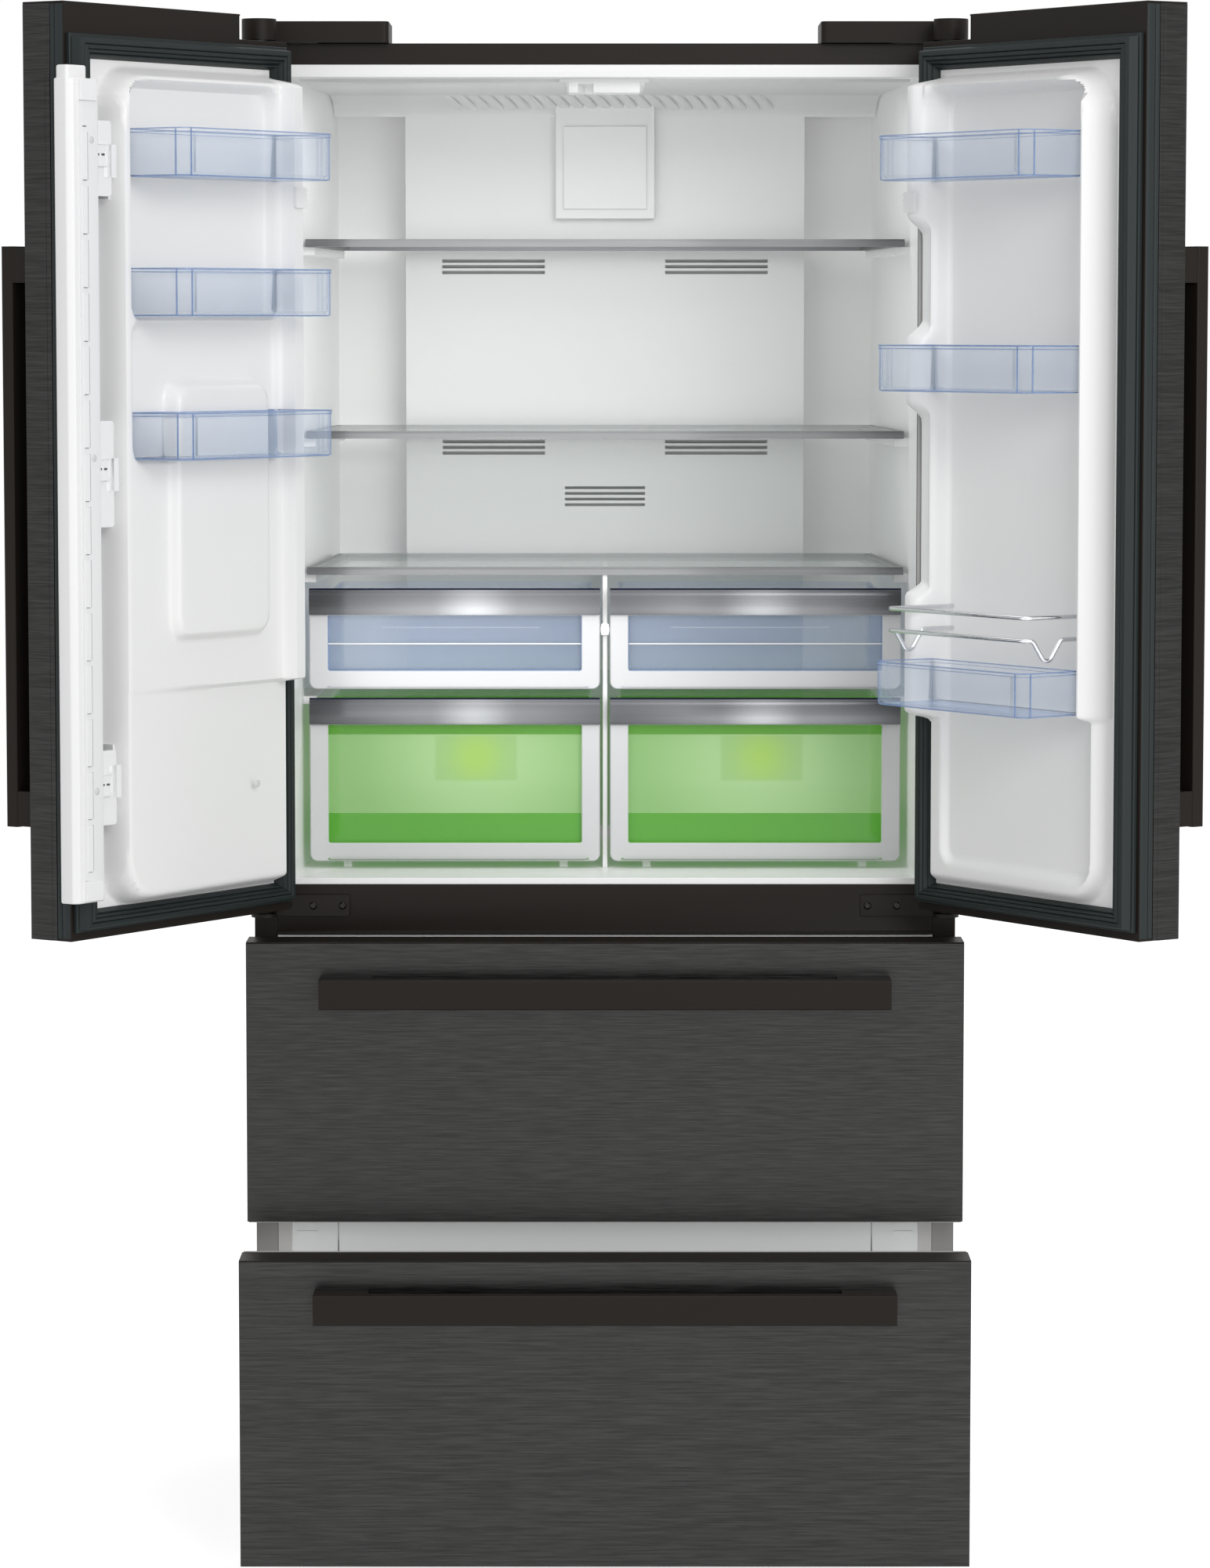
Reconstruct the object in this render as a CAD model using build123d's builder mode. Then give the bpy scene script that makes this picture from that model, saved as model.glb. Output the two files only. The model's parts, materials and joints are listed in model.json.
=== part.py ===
from build123d import *
import math
import os

os.makedirs("parts", exist_ok=True)

# Four-door fridge freezer, millimetres, +Z up, floor at z = 0, fronts facing -Y.
# Depths in the code are measured back from the closed fronts.

# Overall sizes
front_width = 840.0
front_overhang = 6.0
cabinet_top = 1793.0
cabinet_bottom = 42.0
total_depth = 705.0
cabinet_half = front_width / 2 - front_overhang
# How far the opened left door's flipper reaches before the closed fronts
opened_reach = 382.32
front_y = (opened_reach - total_depth) / 2

# Sheet and skin thicknesses
sheet = 1.0
flange_thick = 2.0
liner_thick = 2.0
back_sheet = 2.0

# Doors
beam_bottom = 749.0
beam_top = 808.3
door_gap = 4.0
door_thick = 57.0
gasket_thick = 15.0
gasket_gap = 0.4
skin_return = 31.0
hinge_inset = 20.6
hinge_depth = 18.2
door_open = 124.1
pin_radius = 5.0
pin_clearance = 0.05
pin_reach = 15.0
low_cap_width = 105.0
cap_height = 25.3
door_width = (front_width - door_gap) / 2
door_bottom = beam_top - 20.8
door_top = cabinet_top + cap_height
low_cap_top = cabinet_top - 3.0
hinge_x = front_width / 2 - hinge_inset

# Door liner: a plate let into the body, and a raised middle
plate_edge = 2.0
plate_z = (door_bottom + 9.5, low_cap_top - 6.0)
liner_u = (54.0, door_width - 46.0)
liner_z = (plate_z[0] + 27.0, plate_z[1] - 36.0)
dyke_u = (54.0, 80.0)
dyke_height = 53.0
crest_height = 37.0
far_wall = door_width - 68.0
pocket_top = liner_z[1] - 18.0
break_z = 1060.0
bulge_u = (115.0, 283.0)
bulge_z = (1118.0, 1402.0)
bulge_height = 48.0

# The cabinet's front face
cab_front = door_thick + gasket_thick + gasket_gap
foam_front = cab_front + flange_thick
flange_width = 27.0
flange_inner = cabinet_half - flange_width
band_height = 24.5
band_bottom = cabinet_top - band_height

# Upper compartment
fridge_half_front = flange_inner - 18.0
fridge_taper = 29.0
fridge_half_rear = fridge_half_front - fridge_taper
rear_foam = 65.0
fridge_back = total_depth - rear_foam
fridge_floor = beam_top + 7.7
fridge_ceiling = band_bottom - 14.9

# Lower compartment
freezer_half = flange_inner - 15.0
freezer_floor = cabinet_bottom + 30.0
freezer_ceiling = beam_bottom - 14.0
freezer_back = total_depth - rear_foam
freezer_rim_bottom = cabinet_bottom + 18.0
split_bottom = 398.4
split_top = 417.7

# Machine room at the bottom rear, and the step in the freezer over it
room_depth = 215.0
room_top = 290.0
room_front = total_depth - room_depth
freezer_step_depth = room_front - 50.0
freezer_step_height = room_top + 50.0
base_thick = 3.0

# Shelves
shelf_front = 190.0
shelf_thick = 9.0
shelf_glass = 4.0
shelf_side_gap = 6.0
shelf_tops = (fridge_ceiling - 185.6, 1340.0, 1177.4)
shelf_names = ("top", "middle", "lower")
ledge_height = 10.0

# Back wall of the upper compartment
duct_half = 252.0
duct_depth = 65.0
duct_front = fridge_back - duct_depth
duct_z = (fridge_floor + 14.0, fridge_ceiling - 20.2)
duct_wall = 3.0
cover_half = 62.0
cover_z = (fridge_ceiling - 154.1, fridge_ceiling - 0.6)
fan_z = fridge_ceiling - 93.6
fan_radius = 45.0
shelf_back = duct_front - 15.0

# Drawers inside the upper compartment
divider_half = 3.0
drawer_side_gap = 3.0
crisper_top = 1022.0
cover_thick = 9.0
cover_top = crisper_top + cover_thick
inner_front = 180.0
inner_back = shelf_back - 15.0
bar_height = 32.0
bar_depth = 7.0
inner_wall = 2.5
crisper_z = (fridge_floor + 8.5, crisper_top - 0.6)
chill_z = (cover_top + 0.6, shelf_tops[2] - 24.8)

# Freezer drawers
upper_z = (split_top, beam_bottom - 1.0)
lower_z = (cabinet_bottom - 0.2, split_bottom)
lower_out = 149.8
drawer_cap = 1.6
bin_half = 340.0
bin_wall = 3.0
bin_plate = 4.0
rail_half = 9.0
rail_slack = 0.4
upper_rail_z = upper_z[0] + 162.3
lower_rail_z = lower_z[0] + 168.2
channel_x = (freezer_half - 18.0, freezer_half)

# Handles
handle_out = 42.0
handle_bar = 16.0
handle_tall = 35.0
handle_inset = 87.0
door_handle_z = (910.0, 1553.0)

# Balconies on the doors: heights of bottom and top
left_balcony_z = ((1628.5, 1681.5), (1476.0, 1529.0), (1318.3, 1370.5))
right_balcony_z = ((1628.5, 1679.5), (1391.5, 1444.0), (1035.0, 1085.0))
balcony_rear = door_thick + 31.0
balcony_front = door_thick + 115.0
balcony_wall = 2.4
wire_radius = 2.0

# The flipper that closes the gap between the doors
flip_u = door_width - 29.5
flip_v = door_thick + 31.5
flip_z = (door_bottom + 47.5, low_cap_top - 57.0)
knuckle_half = 18.0
flip_pin = 2.5

closed = Plane((0, front_y, 0))


def door_plane(side):
    """Local axes of an opened door: x runs along it, y goes from its outer face inwards."""
    turn = math.radians(-side * door_open)
    start = Vector(-side * hinge_inset, -hinge_depth, 0)
    cos, sin = math.cos(turn), math.sin(turn)
    pivot = Vector(-side * hinge_x, front_y + hinge_depth, 0)
    moved = Vector(start.X * cos - start.Y * sin, start.X * sin + start.Y * cos, 0)
    return Plane(origin=pivot + moved, x_dir=(cos, sin, 0), z_dir=(0, 0, 1))


def block(x, y, z, mode=Mode.ADD):
    """A box between pairs of limits, in the axes of the open builder."""
    low = [min(x), min(y), min(z)]
    size = [max(x) - low[0], max(y) - low[1], max(z) - low[2]]
    with Locations(tuple(a + b / 2 for a, b in zip(low, size))):
        Box(*size, mode=mode)


def prism(plane, points, z, inset=0.0, corner=0.0, mode=Mode.ADD):
    """An upright prism over a closed outline, drawn in the plane's own x and y."""
    with BuildSketch(plane.offset(min(z) + inset)) as outline:
        with BuildLine():
            Polyline(*points, close=True)
        make_face()
        if inset:
            offset(amount=-inset, kind=Kind.INTERSECTION, mode=Mode.REPLACE)
        if corner:
            fillet(outline.vertices(), radius=corner)
    extrude(outline.sketch, amount=max(z) - min(z) - 2 * inset, mode=mode)


def side_prism(points, half, mode=Mode.ADD):
    """A prism along X over an outline of depth and height."""
    side = Plane((-half, front_y, 0), x_dir=(0, 1, 0), z_dir=(1, 0, 0))
    with BuildSketch(side) as outline:
        with BuildLine():
            Polyline(*points, close=True)
        make_face()
    extrude(outline.sketch, amount=2 * half, mode=mode)


def rod(plane, x, y, z, radius, mode=Mode.ADD):
    """An upright cylinder."""
    with BuildSketch(plane.offset(min(z))) as disc:
        with Locations((x, y)):
            Circle(radius)
    extrude(disc.sketch, amount=max(z) - min(z), mode=mode)


def depth_rod(x, z, depth, radius, mode=Mode.ADD):
    """A cylinder along the depth, on the closed cabinet's axes."""
    face = Plane((0, front_y + max(depth), 0), x_dir=(1, 0, 0), z_dir=(0, -1, 0))
    with BuildSketch(face) as disc:
        with Locations((x, z)):
            Circle(radius)
    extrude(disc.sketch, amount=max(depth) - min(depth), mode=mode)


def save(part, name):
    part.label = name
    export_step(part, "parts/" + name + ".step")


def fridge_wall(depth):
    """Half width of the upper compartment at a depth: its side walls taper to the back."""
    return fridge_half_front - (depth - cab_front) / (fridge_back - cab_front) * fridge_taper


def taper(front, back, half_front, half_back):
    """A symmetric outline in plan, wide at the front."""
    return [(-half_front, front), (half_front, front), (half_back, back), (-half_back, back)]


# Cabinet: folded steel skin with its front flanges
def cabinet_shell():
    inner = cabinet_half - sheet
    with BuildPart(closed) as shell:
        block((-cabinet_half, cabinet_half), (cab_front, total_depth - back_sheet), (cabinet_bottom, cabinet_top))
        block((-inner, inner), (foam_front, total_depth), (0, cabinet_top - sheet), Mode.SUBTRACT)
        block((-flange_inner, flange_inner), (0, foam_front), (0, band_bottom), Mode.SUBTRACT)
    save(shell.part, "cabinet_shell")


def back_panel():
    bead_z = (room_top + 130, cabinet_top - 133)
    with BuildPart(closed) as panel:
        block((-cabinet_half, cabinet_half), (total_depth - back_sheet, total_depth), (room_top + 2, cabinet_top))
        # Stiffening beads pressed into the sheet
        for x in (-260, 0, 260):
            block((x - 15, x + 15), (total_depth - back_sheet / 2, total_depth), bead_z, Mode.SUBTRACT)
    save(panel.part, "back_panel")


compressor_x = -230.0
compressor_seat = 10.0


def base_frame():
    half = cabinet_half - sheet
    floor = cabinet_bottom + base_thick
    middle = total_depth - 105
    with BuildPart(closed) as base:
        block((-half, half), (foam_front, total_depth - back_sheet), (cabinet_bottom, floor))
        block((-flange_inner, flange_inner), (cab_front, foam_front), (cabinet_bottom, freezer_rim_bottom))
        # Raised seats for the compressor
        for x in (compressor_x - 70, compressor_x + 70):
            block((x - 22, x + 22), (middle - 60, middle + 60), (floor, floor + compressor_seat))
    save(base.part, "base_frame")


def freezer_space(grow):
    """Side outline of the lower compartment, stepped over the machine room."""
    low, step_d, step_z = freezer_floor - grow, freezer_step_depth + grow, freezer_step_height - grow
    back, top = freezer_back + grow, freezer_ceiling + grow
    return [(cab_front, low), (step_d, low), (step_d, step_z), (back, step_z), (back, top), (cab_front, top)]


def fridge_space(grow, mode=Mode.ADD):
    """The upper compartment, which tapers to the back."""
    outline = taper(cab_front, fridge_back + grow, fridge_half_front + grow, fridge_half_rear + grow)
    prism(closed, outline, (fridge_floor - grow, fridge_ceiling + grow), mode=mode)


def cabinet_insulation():
    half = cabinet_half - sheet
    with BuildPart(closed) as foam:
        foam_z = (cabinet_bottom + base_thick, cabinet_top - sheet)
        block((-half, half), (foam_front, total_depth - back_sheet), foam_z)
        fridge_space(liner_thick, Mode.SUBTRACT)
        side_prism(freezer_space(liner_thick), freezer_half + liner_thick, Mode.SUBTRACT)
        block((-half, half), (room_front, total_depth), (0, room_top), Mode.SUBTRACT)
    save(foam.part, "cabinet_insulation")


def shelf_ledge(side, top):
    """A ledge on a side wall, cut into the wall so that it joins it."""
    front, back = shelf_front + 12, shelf_back - 5
    points = [
        (side * (fridge_wall(front) - 16), front),
        (side * (fridge_wall(front) + 9), front),
        (side * (fridge_wall(back) + 9), back),
        (side * (fridge_wall(back) - 16), back),
    ]
    prism(closed, points, (top - ledge_height, top), mode=Mode.SUBTRACT)


def fridge_liner():
    with BuildPart(closed) as space:
        fridge_space(0)
        for top in [height - shelf_thick for height in shelf_tops] + [crisper_top]:
            shelf_ledge(-1, top)
            shelf_ledge(1, top)
        # Ribs on the floor that the crispers slide on
        for x in (-310, -50, 50, 310):
            block((x - 5, x + 5), (200, inner_back - 5), (fridge_floor, crisper_z[0] - 0.4), Mode.SUBTRACT)
    with BuildPart(closed) as shape:
        fridge_space(liner_thick)
        block((-flange_inner, flange_inner), (cab_front, foam_front), (beam_top, band_bottom))
    with BuildPart() as liner:
        add(shape.part)
        add(space.part, mode=Mode.SUBTRACT)
    save(liner.part, "fridge_liner")


def freezer_liner():
    with BuildPart(closed) as liner:
        side_prism(freezer_space(liner_thick), freezer_half + liner_thick)
        block((-flange_inner, flange_inner), (cab_front, foam_front), (freezer_rim_bottom, beam_bottom))
        side_prism(freezer_space(0), freezer_half, Mode.SUBTRACT)
    save(liner.part, "freezer_liner")


def front_beam():
    lip = 3.7
    with BuildPart(closed) as beam:
        block((-flange_inner, flange_inner), (cab_front, foam_front), (beam_bottom, beam_top))
        block((-flange_inner, flange_inner), (cab_front - 5, cab_front), (beam_bottom, beam_bottom + lip))
    save(beam.part, "front_beam")


def freezer_crossbar():
    low, high = split_bottom - 36, split_top + 28
    with BuildPart(closed) as bar:
        block((-freezer_half, freezer_half), (cab_front, cab_front + 28), (low, high))
        hollow = (cab_front + 4, cab_front + 28)
        block((-freezer_half + 8, freezer_half - 8), hollow, (low + 4, high - 4), Mode.SUBTRACT)
    save(bar.part, "freezer_crossbar")


vent_x = (76.0, 206.0)
vent_pitch = 7.2
vent_slot = 4.0


def duct_panel():
    face = (duct_front - 1, duct_front + duct_wall + 1)
    with BuildPart(closed) as duct:
        block((-duct_half, duct_half), (duct_front, fridge_back), duct_z)
        inner = duct_half - duct_wall
        hollow_z = (duct_z[0] + duct_wall, duct_z[1] - duct_wall)
        block((-inner, inner), (duct_front + duct_wall, fridge_back), hollow_z, Mode.SUBTRACT)
        # Two rows of side vents with three slots each, and one centre vent with four
        for shelf in shelf_tops[:2]:
            for row in range(3):
                z = shelf - 19.5 - row * vent_pitch
                for side in (-1, 1):
                    block((side * vent_x[0], side * vent_x[1]), face, (z - vent_slot, z), Mode.SUBTRACT)
        for row in range(4):
            z = shelf_tops[1] - 78.2 - row * vent_pitch
            block((-51, 51), face, (z - 3.4, z), Mode.SUBTRACT)
        # Air way behind the cover
        depth_rod(0, fan_z, face, fan_radius, Mode.SUBTRACT)
    save(duct.part, "duct_panel")


def duct_cover():
    wall = 3.0
    front = duct_front - 15
    with BuildPart(closed) as cover:
        block((-cover_half, cover_half), (front, duct_front), cover_z)
        # Raised plate on the front
        block((-cover_half + 10, cover_half - 10), (front - 4, front), (cover_z[0] + 12, cover_z[1] - 38.5))
        inner = cover_half - wall
        block((-inner, inner), (front + wall, duct_front), (cover_z[0] + wall, cover_z[1] - wall), Mode.SUBTRACT)
        for row in range(6):
            z = cover_z[0] + 8 + row * 20
            for side in (-1, 1):
                slot = (side * (inner - 2), side * (cover_half + 2))
                block(slot, (front + 5, duct_front - 2), (z, z + 10), Mode.SUBTRACT)
    save(cover.part, "duct_cover")


fan_hub = 15.0
fan_middle = fridge_back - 38.0
shaft_radius = 3.0


def fan_motor():
    with BuildPart(closed) as motor:
        depth_rod(0, fan_z, (fan_middle + 15, fridge_back), 24)
        depth_rod(0, fan_z, (fan_middle - 14, fan_middle + 15), shaft_radius)
    save(motor.part, "fan_motor")


def evaporator_fan():
    spokes = Plane((0, front_y + fan_middle, fan_z), x_dir=(1, 0, 0), z_dir=(0, -1, 0))
    with BuildPart(closed) as fan:
        depth_rod(0, fan_z, (fan_middle - 11, fan_middle + 11), fan_hub)
        with BuildSketch(spokes.offset(-9)):
            with PolarLocations(28, 7):
                Rectangle(34, 14)
        extrude(amount=2)
        with BuildSketch(spokes.offset(-7)):
            with PolarLocations(28, 7):
                with Locations((0, 6)):
                    Rectangle(30, 2)
        extrude(amount=15)
        reach = (fan_middle - 30, fan_middle + 30)
        depth_rod(0, fan_z, reach, shaft_radius + pin_clearance, Mode.SUBTRACT)
    save(fan.part, "evaporator_fan")


def interior_lamps():
    with BuildPart(closed) as lamps:
        for side in (-1, 1):
            points = [(side * 48, 116), (side * 358, 116), (side * 342, 480), (side * 48, 480)]
            prism(closed, points, (fridge_ceiling - 3.4, fridge_ceiling))
            block((side * 120, side * 220), (duct_front - 5, duct_front), (fridge_floor + 74, fridge_floor + 174))
    save(lamps.part, "interior_lamps")


def flipper_guide():
    low, flange = fridge_ceiling - 16.6, fridge_ceiling - 4
    with BuildPart(closed) as guide:
        block((-54, 52), (99, 114), (flange, fridge_ceiling))
        block((-43, 41), (99, 150), (low, fridge_ceiling))
        # Slanted slot for the flipper's cam
        points = [(-32, 98), (-14, 98), (-14, 128), (-24, 128)]
        prism(closed, points, (low - 1, flange - 2), mode=Mode.SUBTRACT)
    save(guide.part, "flipper_guide")


# Shelves
shelf_rail = 18.0
shelf_rebate = 10.0


def shelf_outline(inset):
    front, back = shelf_front + inset, shelf_back - inset
    side = shelf_side_gap + inset
    return taper(front, back, fridge_wall(front) - side, fridge_wall(back) - side)


def shelves():
    for top, name in zip(shelf_tops, shelf_names):
        with BuildPart(closed) as glass:
            prism(closed, shelf_outline(shelf_rebate), (top - shelf_glass, top))
        save(glass.part, name + "_shelf_glass")
    half = fridge_wall(shelf_front) - shelf_side_gap
    with BuildPart(closed) as frames:
        for top in shelf_tops:
            prism(closed, shelf_outline(0), (top - shelf_thick, top))
            prism(closed, shelf_outline(shelf_rebate), (top - shelf_glass, top), mode=Mode.SUBTRACT)
            prism(closed, shelf_outline(shelf_rail), (top - shelf_thick, top - shelf_glass), mode=Mode.SUBTRACT)
            # Front trim
            block((-half, half), (shelf_front - 6, shelf_front), (top - shelf_thick, top - 2.4))
    save(frames.part, "shelf_frames")


def drawer_divider():
    top = shelf_tops[2] - shelf_thick
    clip = cover_top + 65
    with BuildPart(closed) as post:
        block((-divider_half, divider_half), (shelf_front, inner_back), (fridge_floor, top))
        slot = (shelf_front + 10, inner_back)
        block((-divider_half, divider_half), slot, (crisper_top, cover_top), Mode.SUBTRACT)
        # Clip that holds the post to the shelf above
        block((-divider_half, divider_half), (shelf_front - 4, shelf_front), (clip, clip + 16))
    save(post.part, "drawer_divider")


def crisper_cover():
    front, back = shelf_front + 10, inner_back
    outline = taper(front, back, fridge_wall(front) - 1, fridge_wall(back) - 1)
    with BuildPart(closed) as cover:
        prism(closed, outline, (crisper_top, cover_top))
        # Pressed field on the underside
        for side in (-1, 1):
            field = (side * 20, side * round(fridge_wall(back) - 25))
            block(field, (front + 20, back - 20), (crisper_top, crisper_top + 4), Mode.SUBTRACT)
    save(cover.part, "crisper_cover")


def inner_drawer(side, z, name):
    """One clear drawer with a thick front: pull bar on top, a shallow window below it."""
    bottom, top = z
    near = divider_half + drawer_side_gap
    far = round(fridge_wall(inner_front) - 9.5, 1)
    frame = 22.0
    with BuildPart(closed) as drawer:
        block((side * near, side * far), (inner_front, inner_front + 6), (bottom, top))
        block((side * near, side * far), (inner_front - bar_depth, inner_front), (top - bar_height, top))
        # Window recess in the front
        window = (side * (near + frame), side * (far - frame))
        window_z = (bottom + frame, top - bar_height - 1)
        block(window, (inner_front, inner_front + 3), window_z, Mode.SUBTRACT)
        # Tray
        tray = (near + 10, far - 18)
        tray_top = top - 10
        block((side * tray[0], side * tray[1]), (inner_front + 6, inner_back), (bottom, tray_top))
        hollow = (side * (tray[0] + inner_wall), side * (tray[1] - inner_wall))
        hollow_depth = (inner_front + 6, inner_back - inner_wall)
        block(hollow, hollow_depth, (bottom + inner_wall, tray_top), Mode.SUBTRACT)
        # Finger groove under the pull bar's back edge
        groove = (side * (near + 30), side * (far - 30))
        block(groove, (inner_front - 4, inner_front), (top - bar_height, top - bar_height + 12), Mode.SUBTRACT)
    save(drawer.part, name)


# Hinges on the cabinet
def top_hinges():
    plate = (cabinet_top, cabinet_top + 4)
    with BuildPart(closed) as hinges:
        for side in (-1, 1):
            block((side * (hinge_x - 64), side * (hinge_x + 5)), (63, 150), plate)
            block((side * (hinge_x - 13), side * (hinge_x + 13)), (hinge_depth, 66), plate)
            rod(closed, side * hinge_x, hinge_depth, plate, 15)
            rod(closed, side * hinge_x, hinge_depth, (cabinet_top - pin_reach, cabinet_top), pin_radius)
    save(hinges.part, "top_hinges")


def cover_shape(side, inset, top, mode=Mode.ADD):
    """A hinge cover's outside, or its hollow when an inset is given."""
    low = cabinet_top
    near, far = hinge_x - 148 + inset, hinge_x + 9 - inset
    corners = [(side * near, 60 + inset), (side * far, 60 + inset), (side * far, 165 - inset), (side * near, 165 - inset)]
    prism(closed, corners, (low, top), corner=7 - inset, mode=mode)
    block((side * (hinge_x - 17 + inset), side * (hinge_x + 17 - inset)), (hinge_depth, 70), (low, top), mode)
    rod(closed, side * hinge_x, hinge_depth, (low, top), 20 - inset, mode)


def hinge_covers():
    wall = 2.0
    high = door_top - 0.3
    with BuildPart(closed) as covers:
        for side in (-1, 1):
            cover_shape(side, 0, high)
        for side in (-1, 1):
            cover_shape(side, wall, high - wall, Mode.SUBTRACT)
    save(covers.part, "hinge_covers")


def bottom_hinges():
    arm = (door_bottom - 11.5, door_bottom - 7.5)
    with BuildPart(closed) as hinges:
        for side in (-1, 1):
            plate = (side * (hinge_x - 97.4), side * (hinge_x + 12.6))
            block(plate, (cab_front - 3, cab_front), (arm[0] - 5, arm[1] + 16))
            block((side * (hinge_x - 13), side * (hinge_x + 13)), (hinge_depth, cab_front - 3), arm)
            rod(closed, side * hinge_x, hinge_depth, arm, 15)
            rod(closed, side * hinge_x, hinge_depth, (arm[1], door_bottom - 0.2), 9)
            rod(closed, side * hinge_x, hinge_depth, (arm[1], door_bottom + 10), pin_radius)
    save(hinges.part, "bottom_hinges")


def hinge_screws():
    with BuildPart(closed) as screws:
        for side in (-1, 1):
            for x in (hinge_x - 54.7, hinge_x - 89.4):
                depth_rod(side * x, door_bottom - 4.3, (cab_front - 5.4, cab_front - 3), 4.6)
            for y in (95, 135):
                rod(closed, side * (hinge_x - 49), y, (cabinet_top + 4, cabinet_top + 8), 6)
    save(screws.part, "hinge_screws")


# Machine room and cooling
def compressor():
    x, depth = compressor_x, total_depth - 105
    seat = cabinet_bottom + base_thick + compressor_seat
    top = room_top - 115
    with BuildPart(closed) as unit:
        block((x - 92, x + 92), (depth - 55, depth + 55), (seat, seat + 4))
        rod(closed, x, depth, (seat + 4, top), 78)
        fillet(unit.edges().filter_by(GeomType.CIRCLE).sort_by(Axis.Z)[-1], radius=30)
        rod(closed, x + 60, depth + 40, (seat + 5, top + 25), 5)
    save(unit.part, "compressor")


def finned(x, fin_depth, fin_z, fins, pitch, tube_radius, rows):
    """Upright fins on a set of cross tubes, from a first fin at x."""
    long = (fins - 1) * pitch
    middle = x + long / 2
    with BuildSketch(closed.offset(min(fin_z))) as plates:
        with Locations((middle, sum(fin_depth) / 2)):
            with GridLocations(pitch, 1, fins, 1):
                Rectangle(2, max(fin_depth) - min(fin_depth))
    extrude(plates.sketch, amount=max(fin_z) - min(fin_z))
    start = Plane((x - 12, front_y, 0), x_dir=(0, 1, 0), z_dir=(1, 0, 0))
    with BuildSketch(start) as tubes:
        with Locations((sum(fin_depth) / 2, sum(fin_z) / 2)):
            with GridLocations((max(fin_depth) - min(fin_depth)) / 2, (max(fin_z) - min(fin_z)) / rows, 2, rows):
                Circle(tube_radius)
    extrude(tubes.sketch, amount=long + 24)


def condenser():
    with BuildPart(closed) as unit:
        depth = (total_depth - 135, total_depth - 55)
        finned(60, depth, (cabinet_bottom + base_thick, room_top - 50), 20, 15, 5, 4)
    save(unit.part, "condenser")


panel_front = freezer_back - 69.0


def freezer_rear_panel():
    with BuildPart(closed) as panel:
        block((-freezer_half, freezer_half), (panel_front, panel_front + 3), (freezer_step_height, freezer_ceiling))
        for x in (-200, 0, 200):
            for row in range(3):
                z = freezer_ceiling - 65 - row * 15
                block((x - 60, x + 60), (panel_front - 1, panel_front + 4), (z, z + 6), Mode.SUBTRACT)
    save(panel.part, "freezer_rear_panel")


def evaporator():
    with BuildPart(closed) as unit:
        finned(-280, (freezer_back - 60, freezer_back), (freezer_ceiling - 295, freezer_ceiling - 115), 29, 20, 4, 3)
    save(unit.part, "evaporator")


def rear_grille():
    half = cabinet_half - sheet
    low, high = cabinet_bottom + base_thick, room_top + 2
    rear = Plane((0, front_y + total_depth, 0), x_dir=(1, 0, 0), z_dir=(0, -1, 0))
    with BuildPart(closed) as grille:
        block((-half, half), (total_depth - back_sheet, total_depth), (low, high))
        # Air slots, left clear around the socket
        with BuildSketch(rear) as slots:
            with Locations((-90, (low + high) / 2)):
                with GridLocations(60, 20, 9, 9):
                    Rectangle(44, 7)
            with Locations((300, (low + high) / 2 + 40)):
                with GridLocations(60, 20, 3, 5):
                    Rectangle(44, 7)
        extrude(slots.sketch, amount=back_sheet + 1, mode=Mode.SUBTRACT)
        # Socket for the mains lead
        block((215, 265), (total_depth - 26, total_depth - back_sheet), (low + 45, low + 85))
        block((221, 259), (total_depth - 20, total_depth + 1), (low + 52, low + 78), Mode.SUBTRACT)
    save(grille.part, "rear_grille")


def feet():
    with BuildPart(closed) as group:
        for side in (-1, 1):
            for y in (cab_front + 40, total_depth - 55):
                rod(closed, side * (cabinet_half - 49), y, (0, 12), 22)
                rod(closed, side * (cabinet_half - 49), y, (12, cabinet_bottom), 7)
    save(group.part, "feet")


# Freezer runners and drawers
def freezer_runners():
    front = cab_front + 9.6
    with BuildPart(closed) as runners:
        for side in (-1, 1):
            for z, back in ((upper_rail_z, freezer_back - 80), (lower_rail_z, freezer_step_depth - 4)):
                block((side * channel_x[0], side * channel_x[1]), (front, back), (z - 16, z + 16))
                slot = (side * (channel_x[0] - 1), side * (channel_x[1] - 4))
                block(slot, (front, back - 4), (z - rail_half, z + rail_half), Mode.SUBTRACT)
    save(runners.part, "freezer_runners")


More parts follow.
